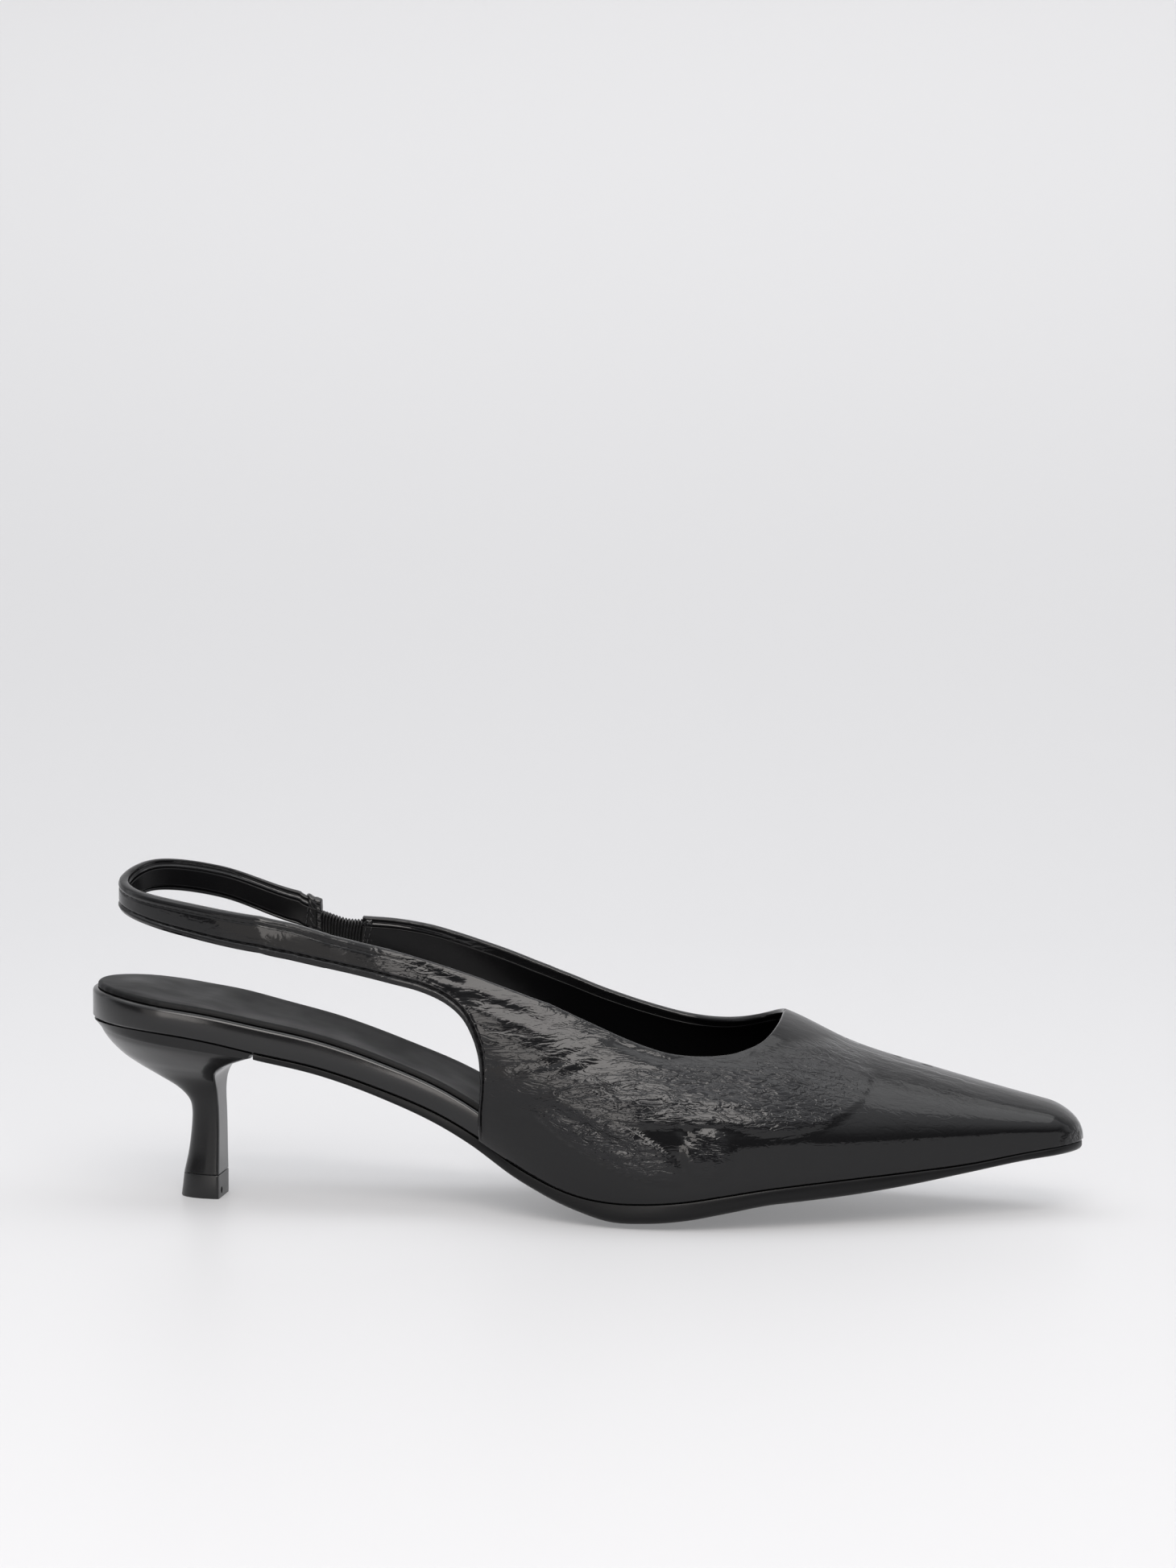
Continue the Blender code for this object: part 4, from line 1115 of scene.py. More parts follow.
@dataclass
class Bottom:
    """What the foot stands on: the wrapped footbed, the padded sock and the outsole."""

    last: Last
    rim_radius: float = 1.2 * MM
    rim_foot_radius: float = 0.7 * MM
    sock_inset: float = 1.4 * MM
    sock_thickness: float = 1.5 * MM
    sock_edge: float = 1.2 * MM
    sock_dish: float = 0.5 * MM
    heel_pad_rise: float = 1.4 * MM
    heel_lip_x: float = HEEL_LIP_X
    lip_gap: float = 0.02 * MM
    sole_step_x: float = 102.0 * MM
    sole_step_run: float = 14.0 * MM
    sole_round: float = 1.6 * MM
    toe_recess: float = 0.8 * MM
    count: int = 150

    def footbed(self) -> bpy.types.Object:
        """Build the wrapped footbed, whose edge is the rim at the seat and the waist.

        Returns:
            The footbed.
        """
        last = self.last
        x = stations(-WALL_OFFSET, UPPER_TIP_X, self.count, True)
        shape = [(self.rim_foot_radius, 0.0, 0.0), (0.0, self.rim_foot_radius, 0.0)]
        shape += [(0.0, -self.rim_radius, 1.0)]
        for turn in np.linspace(0, math.pi / 2, 5)[1:]:
            shape.append((
                self.rim_radius * (1 - math.cos(turn)), self.rim_radius * (math.sin(turn) - 1), 1.0,
            ))
        levels = []
        for inset, rise, share in shape:
            near, far = offset_loop(last, x, -WALL_OFFSET - inset)
            near, far = trim_toe(near, 3.0 * MM), trim_toe(far, 3.0 * MM)
            levels.append((near, far, self.footbed_level(rise, share)))
        return Plate("footbed_rim", levels, levels[0][2], last.footbed_top).build()

    def footbed_level(self, rise: float, share: float) -> Height:
        """Return the height of one level of the rim, from the bed at share 0 to the top at 1.

        Args:
            rise: What is added to the height.
            share: 0 at the bed, 1 at the top.

        Returns:
            The height at a place.
        """
        last = self.last
        if share:
            return lambda x, y: last.footbed_top(x, y) + rise
        return lambda x, y: last.bed_height(x, y) + FIT_GAP + rise

    def sock_top(self, x: np.ndarray, y: np.ndarray) -> np.ndarray:
        """Return the height of the padded sock's face, with its heel pad and its soft waves.

        Args:
            x: Distances from the rim's back.
            y: Places across.

        Returns:
            Heights above the floor.
        """
        last = self.last
        half = np.maximum(last.half_outline(x) - WALL_OFFSET, MM)
        reach = np.clip((y - last.centre_line(x)) / half, -1.0, 1.0)
        pad = ease((x - 6.0 * MM) / (10.0 * MM)) * ease((40.0 * MM - x) / (10.0 * MM))
        dish = self.sock_dish * ease((x - 4.0 * MM) / (12.0 * MM))
        rise = (self.heel_pad_rise * pad - dish) * (1 - reach ** 2)
        wave = 0.10 * MM * np.sin(x / (9.0 * MM) + 2.0 * reach) * np.sin(x / (23.0 * MM) + 1.0)
        wave = wave * (1 - reach ** 4)
        return last.footbed_top(x, y) + FIT_GAP + self.sock_thickness + rise + wave

    def sock(self) -> bpy.types.Object:
        """Build the padded sock, its edge drawn in by small puckers.

        Returns:
            The sock.
        """
        last = self.last
        x = stations(-WALL_OFFSET, UPPER_TIP_X, self.count * 2, True)
        pucker = 0.10 * MM * np.sin(x * 2 * math.pi / (3.1 * MM)) * np.sin(x * 2 * math.pi / (17.0 * MM))
        levels = []
        for turn in (0.0, 0.35, 0.7, 1.05, 1.3, math.pi / 2):
            inset = self.sock_inset + self.sock_edge * (1 - math.cos(turn))
            near, far = offset_loop(last, x, -WALL_OFFSET - inset + pucker * math.cos(turn))
            near, far = trim_toe(near, 12.0 * MM), trim_toe(far, 12.0 * MM)
            share = 0.3 + 0.7 * math.sin(turn) if turn else 0.0
            levels.append((near, far, self.sock_level(share)))
        return Plate("padded_sock", levels, levels[0][2], self.sock_top).build()

    def sock_level(self, share: float) -> Height:
        """Return the height of one level of the sock's edge."""
        last = self.last
        return lambda x, y: last.footbed_top(x, y) + FIT_GAP + self.sock_thickness * share

    def sole_bottom(self, x: np.ndarray, y: np.ndarray) -> np.ndarray:
        """Return the height of the outsole's underside, flat where it meets the floor."""
        depth = self.last.bed.read("sole", x / SHOE_LENGTH) * SEAT_HEIGHT
        return np.maximum(self.last.bed_height(x, y) - depth, 0.0)

    def outsole(self) -> bpy.types.Object:
        """Build the outsole from the heel breast to the toe.

        Returns:
            The outsole.
        """
        last = self.last
        start = self.heel_lip_x + self.lip_gap
        x = stations(start, UPPER_TIP_X, self.count, False)
        step = ease((x - self.sole_step_x) / self.sole_step_run)
        waist = -WALL_OFFSET - 0.4 * MM
        outset = waist + (SOLE_MARGIN - waist) * step
        round_share = 0.35 + 0.65 * ease((x - self.sole_step_x) / (2 * self.sole_step_run))
        levels = []
        profile = ((1.0, 0.0), (0.62, 0.04), (0.3, 0.14), (0.1, 0.27), (0.0, 0.45), (0.0, 0.9), (0.12, 1.0))
        for inset, share in profile:
            near, far = offset_loop(last, x, outset - self.sole_round * inset * round_share)
            near, far = trim_toe(near, self.toe_recess), trim_toe(far, self.toe_recess)
            near[0] = (start, near[1, 1])
            far[0] = (start, far[1, 1])
            levels.append((near, far, self.sole_level(share)))
        return Plate("outsole_unit", levels, self.sole_bottom, last.bed_height).build()

    def sole_level(self, share: float) -> Height:
        """Return the height of one level of the sole's edge."""
        return lambda x, y: self.sole_bottom(x, y) * (1 - share) + self.last.bed_height(x, y) * share


@dataclass
class HeelStack:
    """The covered heel and its top lift."""

    last: Last
    lip_x: float = HEEL_LIP_X
    inset: float = 0.8 * MM
    back_round: float = 3.2 * MM
    lift_height: float = 6.2 * MM
    lift_width: float = 12.6 * MM
    lift_edge: float = 0.4 * MM
    lift_flare: float = 0.07
    corner: float = 0.55 * MM
    row_step: float = 0.1
    arc_points: int = 34
    front_points: int = 9

    def __post_init__(self) -> None:
        """Read the ring table."""
        self.rings = Table(HEEL_COLUMNS, HEEL)

    def seat_plan(self, x: np.ndarray) -> np.ndarray:
        """Return the half width of the heel seat."""
        half = np.maximum(self.last.half_outline(x - self.inset) - WALL_OFFSET - self.inset, 0.0)
        return half * round_end(x, self.back_round)

    def close_ring(self, x: np.ndarray, middle: np.ndarray, width: np.ndarray, z: np.ndarray) -> np.ndarray:
        """Join two side curves and a breast with rounded corners into one closed ring.

        Args:
            x: Distances of the side curves' points from the rim's back.
            middle: The middle line's y.
            width: Half widths.
            z: Heights.

        Returns:
            The ring's points.
        """
        near = np.column_stack((x, middle - width, z))
        far = np.column_stack((x, middle + width, z))[::-1]
        start, end = near[-1], far[0]
        gap = unit(end - start)
        back_near = unit(near[-2] - start)
        back_far = unit(far[1] - end)
        size = min(self.corner, float(np.linalg.norm(end - start)) / 4)
        turns = np.linspace(0, math.pi / 2, 5)
        round_near = [
            start + back_near * size * (1 - math.sin(t)) + gap * size * (1 - math.cos(t)) for t in turns
        ]
        round_far = [
            end + back_far * size * (1 - math.cos(t)) - gap * size * (1 - math.sin(t)) for t in turns
        ]
        shares = np.linspace(0, 1, self.front_points + 2)[1:-1, None]
        front = round_near[-1] + (round_far[0] - round_near[-1]) * shares
        near = near[near[:, 0] < start[0] - size * 0.9]
        far = far[far[:, 0] < end[0] - size * 0.9]
        return np.concatenate((near, np.array(round_near), front, np.array(round_far), far))

    def even(self, ring: np.ndarray, count: int = 120) -> np.ndarray:
        """Space a ring's points evenly, starting and ending at the back, so that rings can be joined.

        Args:
            ring: The ring.
            count: Number of points.

        Returns:
            The ring's new points.
        """
        length = run_of(ring)
        breast = self.breast_span(ring)
        first, second = length[breast[0]], length[breast[1]]
        side = (count - 24) // 2
        places = np.concatenate((
            np.linspace(0, first, side, endpoint=False),
            np.linspace(first, second, 24, endpoint=False),
            np.linspace(second, length[-1], side),
        ))
        points = read_along(length, ring, places)
        points[0] = points[-1] = (points[0] + points[-1]) / 2
        return points

    def breast_span(self, ring: np.ndarray) -> tuple[int, int]:
        """Return the numbers of the points at which the rounded breast starts and ends.

        Args:
            ring: The ring.

        Returns:
            The two numbers.
        """
        inside = 5 + self.front_points + 5
        start = (len(ring) - inside) // 2
        return start, start + inside - 1

    def ring(self, row: float, scale: float = 1.0) -> np.ndarray:
        """Return one ring of the heel, starting at its back.

        Args:
            row: Row of the ring table.
            scale: Factor on the width.

        Returns:
            The ring's points.
        """
        read = self.rings.read
        back = read("back_x", row) * self.lip_x
        front = read("front_x", row) * self.lip_x
        half = read("half", row) * self.lift_width / 2 * scale
        seat = read("seat", row)
        foot = self.lift_height + FIT_GAP
        back_z = foot + read("back_height", row) * (SEAT_HEIGHT - foot)
        front_z = foot + read("front_height", row) * (SEAT_HEIGHT - foot)
        turn = np.linspace(0, math.pi / 2, self.arc_points)
        ahead = 1 - np.cos(turn)
        lip_plan = self.seat_plan(np.array((self.lip_x,)))
        plan = self.seat_plan(self.inset + (self.lip_x - self.inset) * ahead) / lip_plan
        width = half * (np.sin(turn) * (1 - seat) + plan * seat)
        x = back + (front - back) * ahead
        z = back_z + (front_z - back_z) * ahead
        return self.close_ring(x, self.last.centre_line(x) * seat, width, z)

    def seat_ring(self) -> np.ndarray:
        """Return the heel's top ring, which follows the footbed's outline and the bed.

        Returns:
            The ring's points.
        """
        turn = np.linspace(0, math.pi / 2, self.arc_points)
        x = self.inset + (self.lip_x - self.inset) * (1 - np.cos(turn))
        ring = self.close_ring(x, self.last.centre_line(x), self.seat_plan(x), x * 0)
        ring[:, 2] = self.last.bed_height(ring[:, 0], ring[:, 1])
        return ring

    def closed(self, name: str, rings: list[np.ndarray], sharp: float) -> bpy.types.Object:
        """Lay rings and close both ends with rows drawn in to the middle line.

        Args:
            name: The piece's name.
            rings: The rings from bottom to top.
            sharp: Angle in degrees above which an edge stays sharp.

        Returns:
            The piece.
        """
        rows = [self.even(ring) for ring in rings]
        for end in (0, -1):
            ring = rows[end]
            mirrored = ring[::-1]
            middle = (ring + mirrored) / 2
            extra = [middle + (ring - middle) * share for share in (0.66, 0.33, 0.0)]
            rows = rows + extra if end == -1 else extra[::-1] + rows
        return lay_grid(name, to_frame(np.array(rows)), sharp)

    def heel(self) -> bpy.types.Object:
        """Build the covered heel from the top lift up to the seat.

        Returns:
            The heel.
        """
        rings = [self.ring(row) for row in np.arange(0, self.rings.last_row + 0.001, self.row_step)]
        low = rings[-1]
        seat = self.seat_ring()
        rings += [low + (seat - low) * share for share in (0.25, 0.5, 0.75, 1.0)]
        return self.closed("heel_cover", rings, 40.0)

    def top_lift(self) -> bpy.types.Object:
        """Build the top lift, with rounded edges and the small notch in its front face.

        Returns:
            The top lift.
        """
        rings = []
        for share, flare, scale in (
            (0.0, 0.7, 0.985),
            (0.3, 0.9, 1.005),
            (1.0, 1.0, 1.02),
            (8.0, 0.5, 1.02),
            (14.5, 0.1, 1.02),
            (15.2, 0.05, 1.01),
            (15.5, 0.0, 1.0),
        ):
            ring = self.ring(0, scale)
            front = ring[:, 0].max()
            ring[:, 0] = front - (front - ring[:, 0]) * (1 + self.lift_flare * flare)
            ring[:, 2] = share * self.lift_edge
            rings.append(ring)
        lift = self.closed("top_lift_block", rings, 40.0)
        self.cut_notch(lift)
        return lift

    def cut_notch(self, lift: bpy.types.Object) -> None:
        """Cut the small half-round notch low in the lift's front face.

        Args:
            lift: The top lift.
        """
        front = max(vertex.co.x for vertex in lift.data.vertices)
        clear_selection()
        bpy.ops.mesh.primitive_cylinder_add(vertices=24, radius=0.9 * MM, depth=1.4 * MM,
                                            location=(front, -2.6 * MM, 1.9 * MM),
                                            rotation=(0.0, math.pi / 2, 0.0))
        cutter = bpy.context.object
        close_seams(lift)
        cut = lift.modifiers.new("notch", "BOOLEAN")
        cut.operation = "DIFFERENCE"
        cut.object = cutter
        cut.solver = "FAST"
        activate(lift)
        bpy.ops.object.modifier_apply(modifier=cut.name)
        bpy.data.objects.remove(cutter)
        close_seams(lift)


@dataclass
class ElasticJoint:
    """The ribbed elastic between the strap's end and the far ear, and the folds that hold it."""

    last: Last
    thickness: float = 1.2 * MM
    inset: float = 0.6 * MM
    tuck: float = 1.2 * MM
    rib_pitch: float = 0.85 * MM
    rib_height: float = 0.50 * MM
    rib_run: float = 1.5 * MM
    columns: int = 200
    fold_swell: float = 0.50 * MM
    loop_drop: float = 0.55 * MM
    row_drop: float = 5.0 * MM
    row_inset: float = STRAP_WALL + 0.75 * MM

    def __post_init__(self) -> None:
        """Read the edge table."""
        self.edges = Table(ELASTIC_COLUMNS, ELASTIC)

    def band(self) -> bpy.types.Object:
        """Build the elastic, drawn into close upright ribs.

        Returns:
            The elastic.
        """
        start = STRAP_END_X - self.tuck
        top_end = QUARTER[0][1] * SHOE_LENGTH + self.tuck
        bottom_end = QUARTER[0][4] * SHOE_LENGTH + self.tuck
        ribs = []
        for run in np.linspace(0, 1, self.columns + 1):
            top_x = start + (top_end - start) * run
            bottom_x = start + (bottom_end - start) * run
            top_z = self.edges.read("top", run) * STRAP_TOP_HEIGHT
            bottom_z = self.edges.read("bottom", run) * STRAP_TOP_HEIGHT
            top = np.array((top_x, self.last.side_plan(top_x, top_z, Side.FAR) - self.inset, top_z))
            bottom_y = self.last.side_plan(bottom_x, bottom_z, Side.FAR) - self.inset
            bottom = np.array((bottom_x, bottom_y, bottom_z))
            ribs.append(top + (bottom - top) * np.linspace(0, 1, 18)[:, None])
        grid = np.array(ribs)
        normal = normals_of(grid)
        slant = (grid[:, :1, 2] - grid[:, :, 2]) * 0.25
        wave = np.abs(np.sin((grid[:, :, 0] + slant) * math.pi / self.rib_pitch)) - 0.5
        below = np.exp(-(grid[:, :1, 2] - grid[:, :, 2]) / self.rib_run)
        wave = wave * (0.12 + 0.88 * below)
        face = grid + normal * (wave * self.rib_height)[:, :, None]
        face[:, 0, 2] += wave[:, 0] * self.rib_height * 1.2
        face[:, -1, 2] -= wave[:, -1] * self.rib_height * 1.2
        wall = self.thickness + 2 * (wave[:, 0] * self.rib_height)
        rings = wall_rings(face, normal, wall, 0.4 * MM, 3)
        rings = capped(rings, face.shape[1], 3, 0.05 * MM)
        return lay_grid("elastic_ribbed", to_frame(rings), 60.0)

    def sleeve(self, name: str, span: tuple[float, float], top: tuple[float, float],
               bottom: tuple[float, float]) -> bpy.types.Object:
        """Build a fold of leather wrapped round the end of the strap or the ear.

        Args:
            name: The piece's name.
            span: Where it starts and ends along the shoe.
            top: Height of its upper edge at both ends.
            bottom: Height of its lower edge at both ends.

        Returns:
            The piece.
        """
        ribs, swell = [], []
        for share in np.linspace(0, 1, 19):
            x = span[0] + (span[1] - span[0]) * share
            bulge = self.fold_swell * (0.35 + 0.65 * math.sin(math.pi * min(share * 1.15, 1.0)) ** 0.7)
            crimp = 0.18 * MM * math.sin(share * 9.0)
            high = top[0] + (top[1] - top[0]) * share + bulge + crimp
            low = bottom[0] + (bottom[1] - bottom[0]) * share - bulge * 0.6
            rows = []
            for z in np.linspace(high, low, 22):
                rows.append((x, self.last.side_plan(x, z, Side.FAR) + bulge * 0.8, z))
            ribs.append(rows)
            swell.append(STRAP_WALL + 1.7 * bulge)
        grid = np.array(ribs)
        normal = normals_of(grid)
        ruck = 0.10 * MM * np.sin(grid[:, :, 2] * 2 * math.pi / (2.3 * MM) + grid[:, :, 0] / (0.5 * MM))
        face = grid + normal * ruck[:, :, None]
        rings = wall_rings(face, normal, np.array(swell), 0.7 * MM, 5)
        rings = capped(rings, face.shape[1], 5, 0.25 * MM)
        return lay_grid(name, to_frame(rings), 70.0)

    def folds(self) -> list[bpy.types.Object]:
        """Build the strap's end tab and the ear's fold, between which the elastic shows.

        Returns:
            The tab, the fold, their stitch rows and the loops.
        """
        strap_top, strap_bottom = (share * STRAP_TOP_HEIGHT for share in LOOP[-1][1:])
        ear_top, ear_bottom = QUARTER[0][3] * STRAP_TOP_HEIGHT, QUARTER[0][6] * STRAP_TOP_HEIGHT
        ear_x = QUARTER[0][1] * SHOE_LENGTH
        tab = self.sleeve("strap_end_tab", (STRAP_END_X - 3.2 * MM, STRAP_END_X + 1.1 * MM),
                          (strap_top + 0.9 * MM, strap_top - 0.3 * MM), (strap_bottom, strap_bottom))
        fold = self.sleeve("ear_fold", (ear_x - 0.8 * MM, ear_x + 2.4 * MM),
                           (ear_top - 2.2 * MM, ear_top - 0.8 * MM), (ear_bottom, ear_bottom))
        rows = []
        for name, x, top, lean in (
            ("tab_stitches", STRAP_END_X - 2.3 * MM, strap_top - 1.6 * MM, -0.6 * MM),
            ("ear_stitches_front", ear_x + 0.9 * MM, ear_top - 2.6 * MM, -1.0 * MM),
            ("ear_stitches_back", ear_x + 2.6 * MM, ear_top - 2.4 * MM, -1.6 * MM),
        ):
            rows.append(self.stitch_down(name, x, top, lean))
        return [tab, fold, *rows, self.edge_loops()]

    def edge_loops(self) -> bpy.types.Object:
        """Build the row of small upright loops along the elastic's drawn-in upper edge.

        Returns:
            The loops, as one piece.
        """
        end = QUARTER[0][1] * SHOE_LENGTH
        points = []
        for run in np.linspace(0.0, 1.0, 40):
            x = STRAP_END_X + (end - STRAP_END_X) * run
            z = self.edges.read("top", run) * STRAP_TOP_HEIGHT - self.loop_drop
            leather_y = self.last.side_plan(x, z, Side.FAR)
            points.append((x, leather_y - self.inset - self.thickness - 0.1 * MM, z))
        line = to_frame(np.array(points))
        normal = np.tile((0.0, -1.0, 0.0), (len(line), 1))
        loops = Stitching(pitch=self.rib_pitch, length=0.55 * MM, width=2.0 * MM, height=0.9 * MM)
        return loops.sew("elastic_edge_loops", line, normal)

    def stitch_down(self, name: str, x: float, top: float, lean: float) -> bpy.types.Object:
        """Sew one short upright row that holds the elastic, seen on the inner face.

        Args:
            name: The piece's name.
            x: Where the row starts along the shoe.
            top: Height of its upper end.
            lean: How far it moves along the shoe toward its lower end.

        Returns:
            The row.
        """
        points = []
        for share in np.linspace(0, 1, 12):
            z = top - share * self.row_drop
            place = x + lean * share
            points.append((place, self.last.side_plan(place, z, Side.FAR) - self.row_inset, z))
        line = to_frame(np.array(points))
        normal = np.tile((0.0, -1.0, 0.0), (len(line), 1))
        stitches = Stitching(pitch=1.5 * MM, length=1.35 * MM, width=0.3 * MM, height=0.24 * MM)
        return stitches.sew(name, line, normal)


def linear(colour: str) -> tuple[float, float, float, float]:
    """Return a linear colour from its sRGB hex value."""
    parts = [int(colour[start:start + 2], 16) / 255 for start in (1, 3, 5)]
    return (*[part / 12.92 if part <= 0.04045 else ((part + 0.055) / 1.055) ** 2.4 for part in parts], 1.0)


def add_node(
    tree: bpy.types.NodeTree,
    kind: str,
    settings: dict[str, object] | None = None,
    inputs: dict[str | int, object] | None = None,
) -> bpy.types.Node:
    """Add one node with its settings and links.

    Args:
        tree: The node tree.
        kind: The node's type.
        settings: Properties to set.
        inputs: Values for its sockets, or sockets to link from.

    Returns:
        The node.
    """
    node = tree.nodes.new(kind)
    for name, value in (settings or {}).items():
        setattr(node, name, value)
    for name, value in (inputs or {}).items():
        if isinstance(value, bpy.types.NodeSocket):
            tree.links.new(value, node.inputs[name])
        else:
            node.inputs[name].default_value = value
    return node


def new_material(name: str, **surface: object) -> tuple[bpy.types.Material, bpy.types.Node]:
    """Create a material with numbers set on its surface shader.

    Args:
        name: The material's name.
        surface: Socket names, with underscores for spaces, and their values.

    Returns:
        The material and its shader node.
    """
    material = bpy.data.materials.new(name)
    material.use_nodes = True
    shader = material.node_tree.nodes["Principled BSDF"]
    for socket, value in surface.items():
        shader.inputs[socket.replace("_", " ")].default_value = value
    material.diffuse_color = surface.get("Base_Color", (0.02, 0.02, 0.02, 1.0))
    return material, shader


def dress(piece: bpy.types.Object, material: bpy.types.Material) -> None:
    """Give a piece one material all over."""
    piece.data.materials.clear()
    piece.data.materials.append(material)


@dataclass(frozen=True)
class PatentLeather:
    """Lacquered crinkle leather: a hard clear gloss over fine wrinkles that break up what it mirrors."""

    colour: str = "#121213"
    crinkle_colour: str = "#18181a"
    roughness: float = 0.08
    lacquer: float = 1.39
    wrinkle_size: float = 0.9 * MM
    wrinkle_depth: float = 0.15 * MM
    ripple_size: float = 8.0 * MM
    ripple_depth: float = 1.15 * MM
    pebble_size: float = 0.55 * MM
    pebble_depth: float = 0.010 * MM

    def build(self, name: str) -> bpy.types.Material:
        """Build the lacquered leather with its painted crinkle.

        Args:
            name: The material's name.

        Returns:
            The material.
        """
        material, shader = new_material(
            name, Base_Color=linear(self.colour), IOR=self.lacquer, Coat_Weight=0.0,
        )
        tree = material.node_tree
        place = add_node(tree, "ShaderNodeTexCoord").outputs["Object"]
        painted = add_node(tree, "ShaderNodeAttribute", {"attribute_name": "crinkle"}).outputs["Fac"]
        lie = add_node(tree, "ShaderNodeMapping", None, {
            "Vector": place, "Rotation": (0.0, math.radians(14), 0.0), "Scale": (0.27, 1.0, 1.0),
        }).outputs["Vector"]
        bend = add_node(tree, "ShaderNodeTexNoise", {"noise_dimensions": "3D"}, {
            "Vector": lie, "Scale": 0.16 / self.wrinkle_size, "Detail": 2.0,
        }).outputs["Color"]
        bent = add_node(tree, "ShaderNodeVectorMath", {"operation": "MULTIPLY_ADD"}, {
            0: bend, 1: (3.2 * self.wrinkle_size,) * 3, 2: lie,
        }).outputs["Vector"]
        height = None
        for spacing, share in ((2.4, 1.0), (1.05, 0.3)):
            field_value = add_node(tree, "ShaderNodeTexNoise", {"noise_dimensions": "3D"}, {
                "Vector": bent, "Scale": 1 / (spacing * self.wrinkle_size), "Detail": 1.5, "Roughness": 0.5,
                "Distortion": 0.6,
            }).outputs["Fac"]
            centred = add_node(tree, "ShaderNodeMath", {"operation": "SUBTRACT"}, {
                0: field_value, 1: 0.5,
            }).outputs[0]
            away = add_node(tree, "ShaderNodeMath", {"operation": "ABSOLUTE"}, {0: centred}).outputs[0]
            fold = add_node(tree, "ShaderNodeMapRange", {"interpolation_type": "SMOOTHERSTEP"}, {
                "Value": away, "From Min": 0.0, "From Max": 0.11, "To Min": 0.0, "To Max": share,
            }).outputs["Result"]
            if height is not None:
                fold = add_node(tree, "ShaderNodeMath", {"operation": "ADD"}, {
                    0: fold, 1: height,
                }).outputs[0]
            height = fold
        wrinkle = add_node(tree, "ShaderNodeMath", {"operation": "MULTIPLY"}, {
            0: height, 1: painted,
        }).outputs[0]
        pebble = add_node(tree, "ShaderNodeTexNoise", {"noise_dimensions": "3D"}, {
            "Vector": lie, "Scale": 1 / self.pebble_size, "Detail": 2.0, "Roughness": 0.6,
        }).outputs["Fac"]
        first = add_node(tree, "ShaderNodeBump", None, {
            "Height": pebble, "Strength": 1.0, "Distance": self.pebble_depth,
        }).outputs["Normal"]
        ripple = add_node(tree, "ShaderNodeTexNoise", {"noise_dimensions": "3D"}, {
            "Vector": lie, "Scale": 1 / self.ripple_size, "Detail": 2.0, "Roughness": 0.5,
        }).outputs["Fac"]
        share = add_node(tree, "ShaderNodeMapRange", {"interpolation_type": "SMOOTHSTEP"}, {
            "Value": painted, "From Min": 0.0, "From Max": 0.42, "To Min": 0.12, "To Max": 1.0,
        }).outputs["Result"]
        swell = add_node(tree, "ShaderNodeMath", {"operation": "MULTIPLY"}, {0: ripple, 1: share}).outputs[0]
        second = add_node(tree, "ShaderNodeBump", None, {
            "Height": swell, "Strength": 1.0, "Distance": self.ripple_depth, "Normal": first,
        }).outputs["Normal"]
        relief = add_node(tree, "ShaderNodeBump", None, {
            "Height": wrinkle, "Strength": 1.0, "Distance": self.wrinkle_depth, "Normal": second,
        }).outputs["Normal"]
        # The base colour turns a little lighter where the crinkle attribute is strong.
        tone = add_node(tree, "ShaderNodeMix", {"data_type": "RGBA"}, {
            0: painted, 6: linear(self.colour), 7: linear(self.crinkle_colour),
        }).outputs[2]
        matt = add_node(tree, "ShaderNodeMapRange", None, {
            "Value": ripple, "From Min": 0.3, "From Max": 0.7, "To Min": self.roughness * 0.75,
            "To Max": self.roughness * 1.3,
        }).outputs["Result"]
        tree.links.new(tone, shader.inputs["Base Color"])
        tree.links.new(matt, shader.inputs["Roughness"])
        tree.links.new(relief, shader.inputs["Normal"])
        return material


@dataclass(frozen=True)
class PlainFinish:
    """A finish of one colour with its own grain and soft unevenness."""

    colour: str
    roughness: float
    grain_size: float
    grain_depth: float
    wave_size: float = 14.0 * MM
    wave_depth: float = 0.0
    sheen: float = 0.0
    specular: float = 0.5

    def build(self, name: str) -> bpy.types.Material:
        """Build the finish.

        Args:
            name: The material's name.

        Returns:
            The material.
        """
        material, shader = new_material(
            name, Base_Color=linear(self.colour), IOR=1.5, Sheen_Weight=self.sheen,
            Specular_IOR_Level=self.specular,
        )
        tree = material.node_tree
        place = add_node(tree, "ShaderNodeTexCoord").outputs["Object"]
        grain = add_node(tree, "ShaderNodeTexNoise", {"noise_dimensions": "3D"}, {
            "Vector": place, "Scale": 1 / self.grain_size, "Detail": 3.0, "Roughness": 0.6,
        }).outputs["Fac"]
        wave = add_node(tree, "ShaderNodeTexNoise", {"noise_dimensions": "3D"}, {
            "Vector": place, "Scale": 1 / self.wave_size, "Detail": 2.0,
        }).outputs["Fac"]
        fine = add_node(tree, "ShaderNodeBump", None, {
            "Height": grain, "Strength": 1.0, "Distance": self.grain_depth,
        }).outputs["Normal"]
        relief = add_node(tree, "ShaderNodeBump", None, {
            "Height": wave, "Strength": 1.0, "Distance": self.wave_depth, "Normal": fine,
        }).outputs["Normal"]
        matt = add_node(tree, "ShaderNodeMapRange", None, {
            "Value": wave, "From Min": 0.3, "From Max": 0.7, "To Min": self.roughness * 0.85,
            "To Max": self.roughness * 1.15,
        }).outputs["Result"]
        tree.links.new(matt, shader.inputs["Roughness"])
        tree.links.new(relief, shader.inputs["Normal"])
        return material


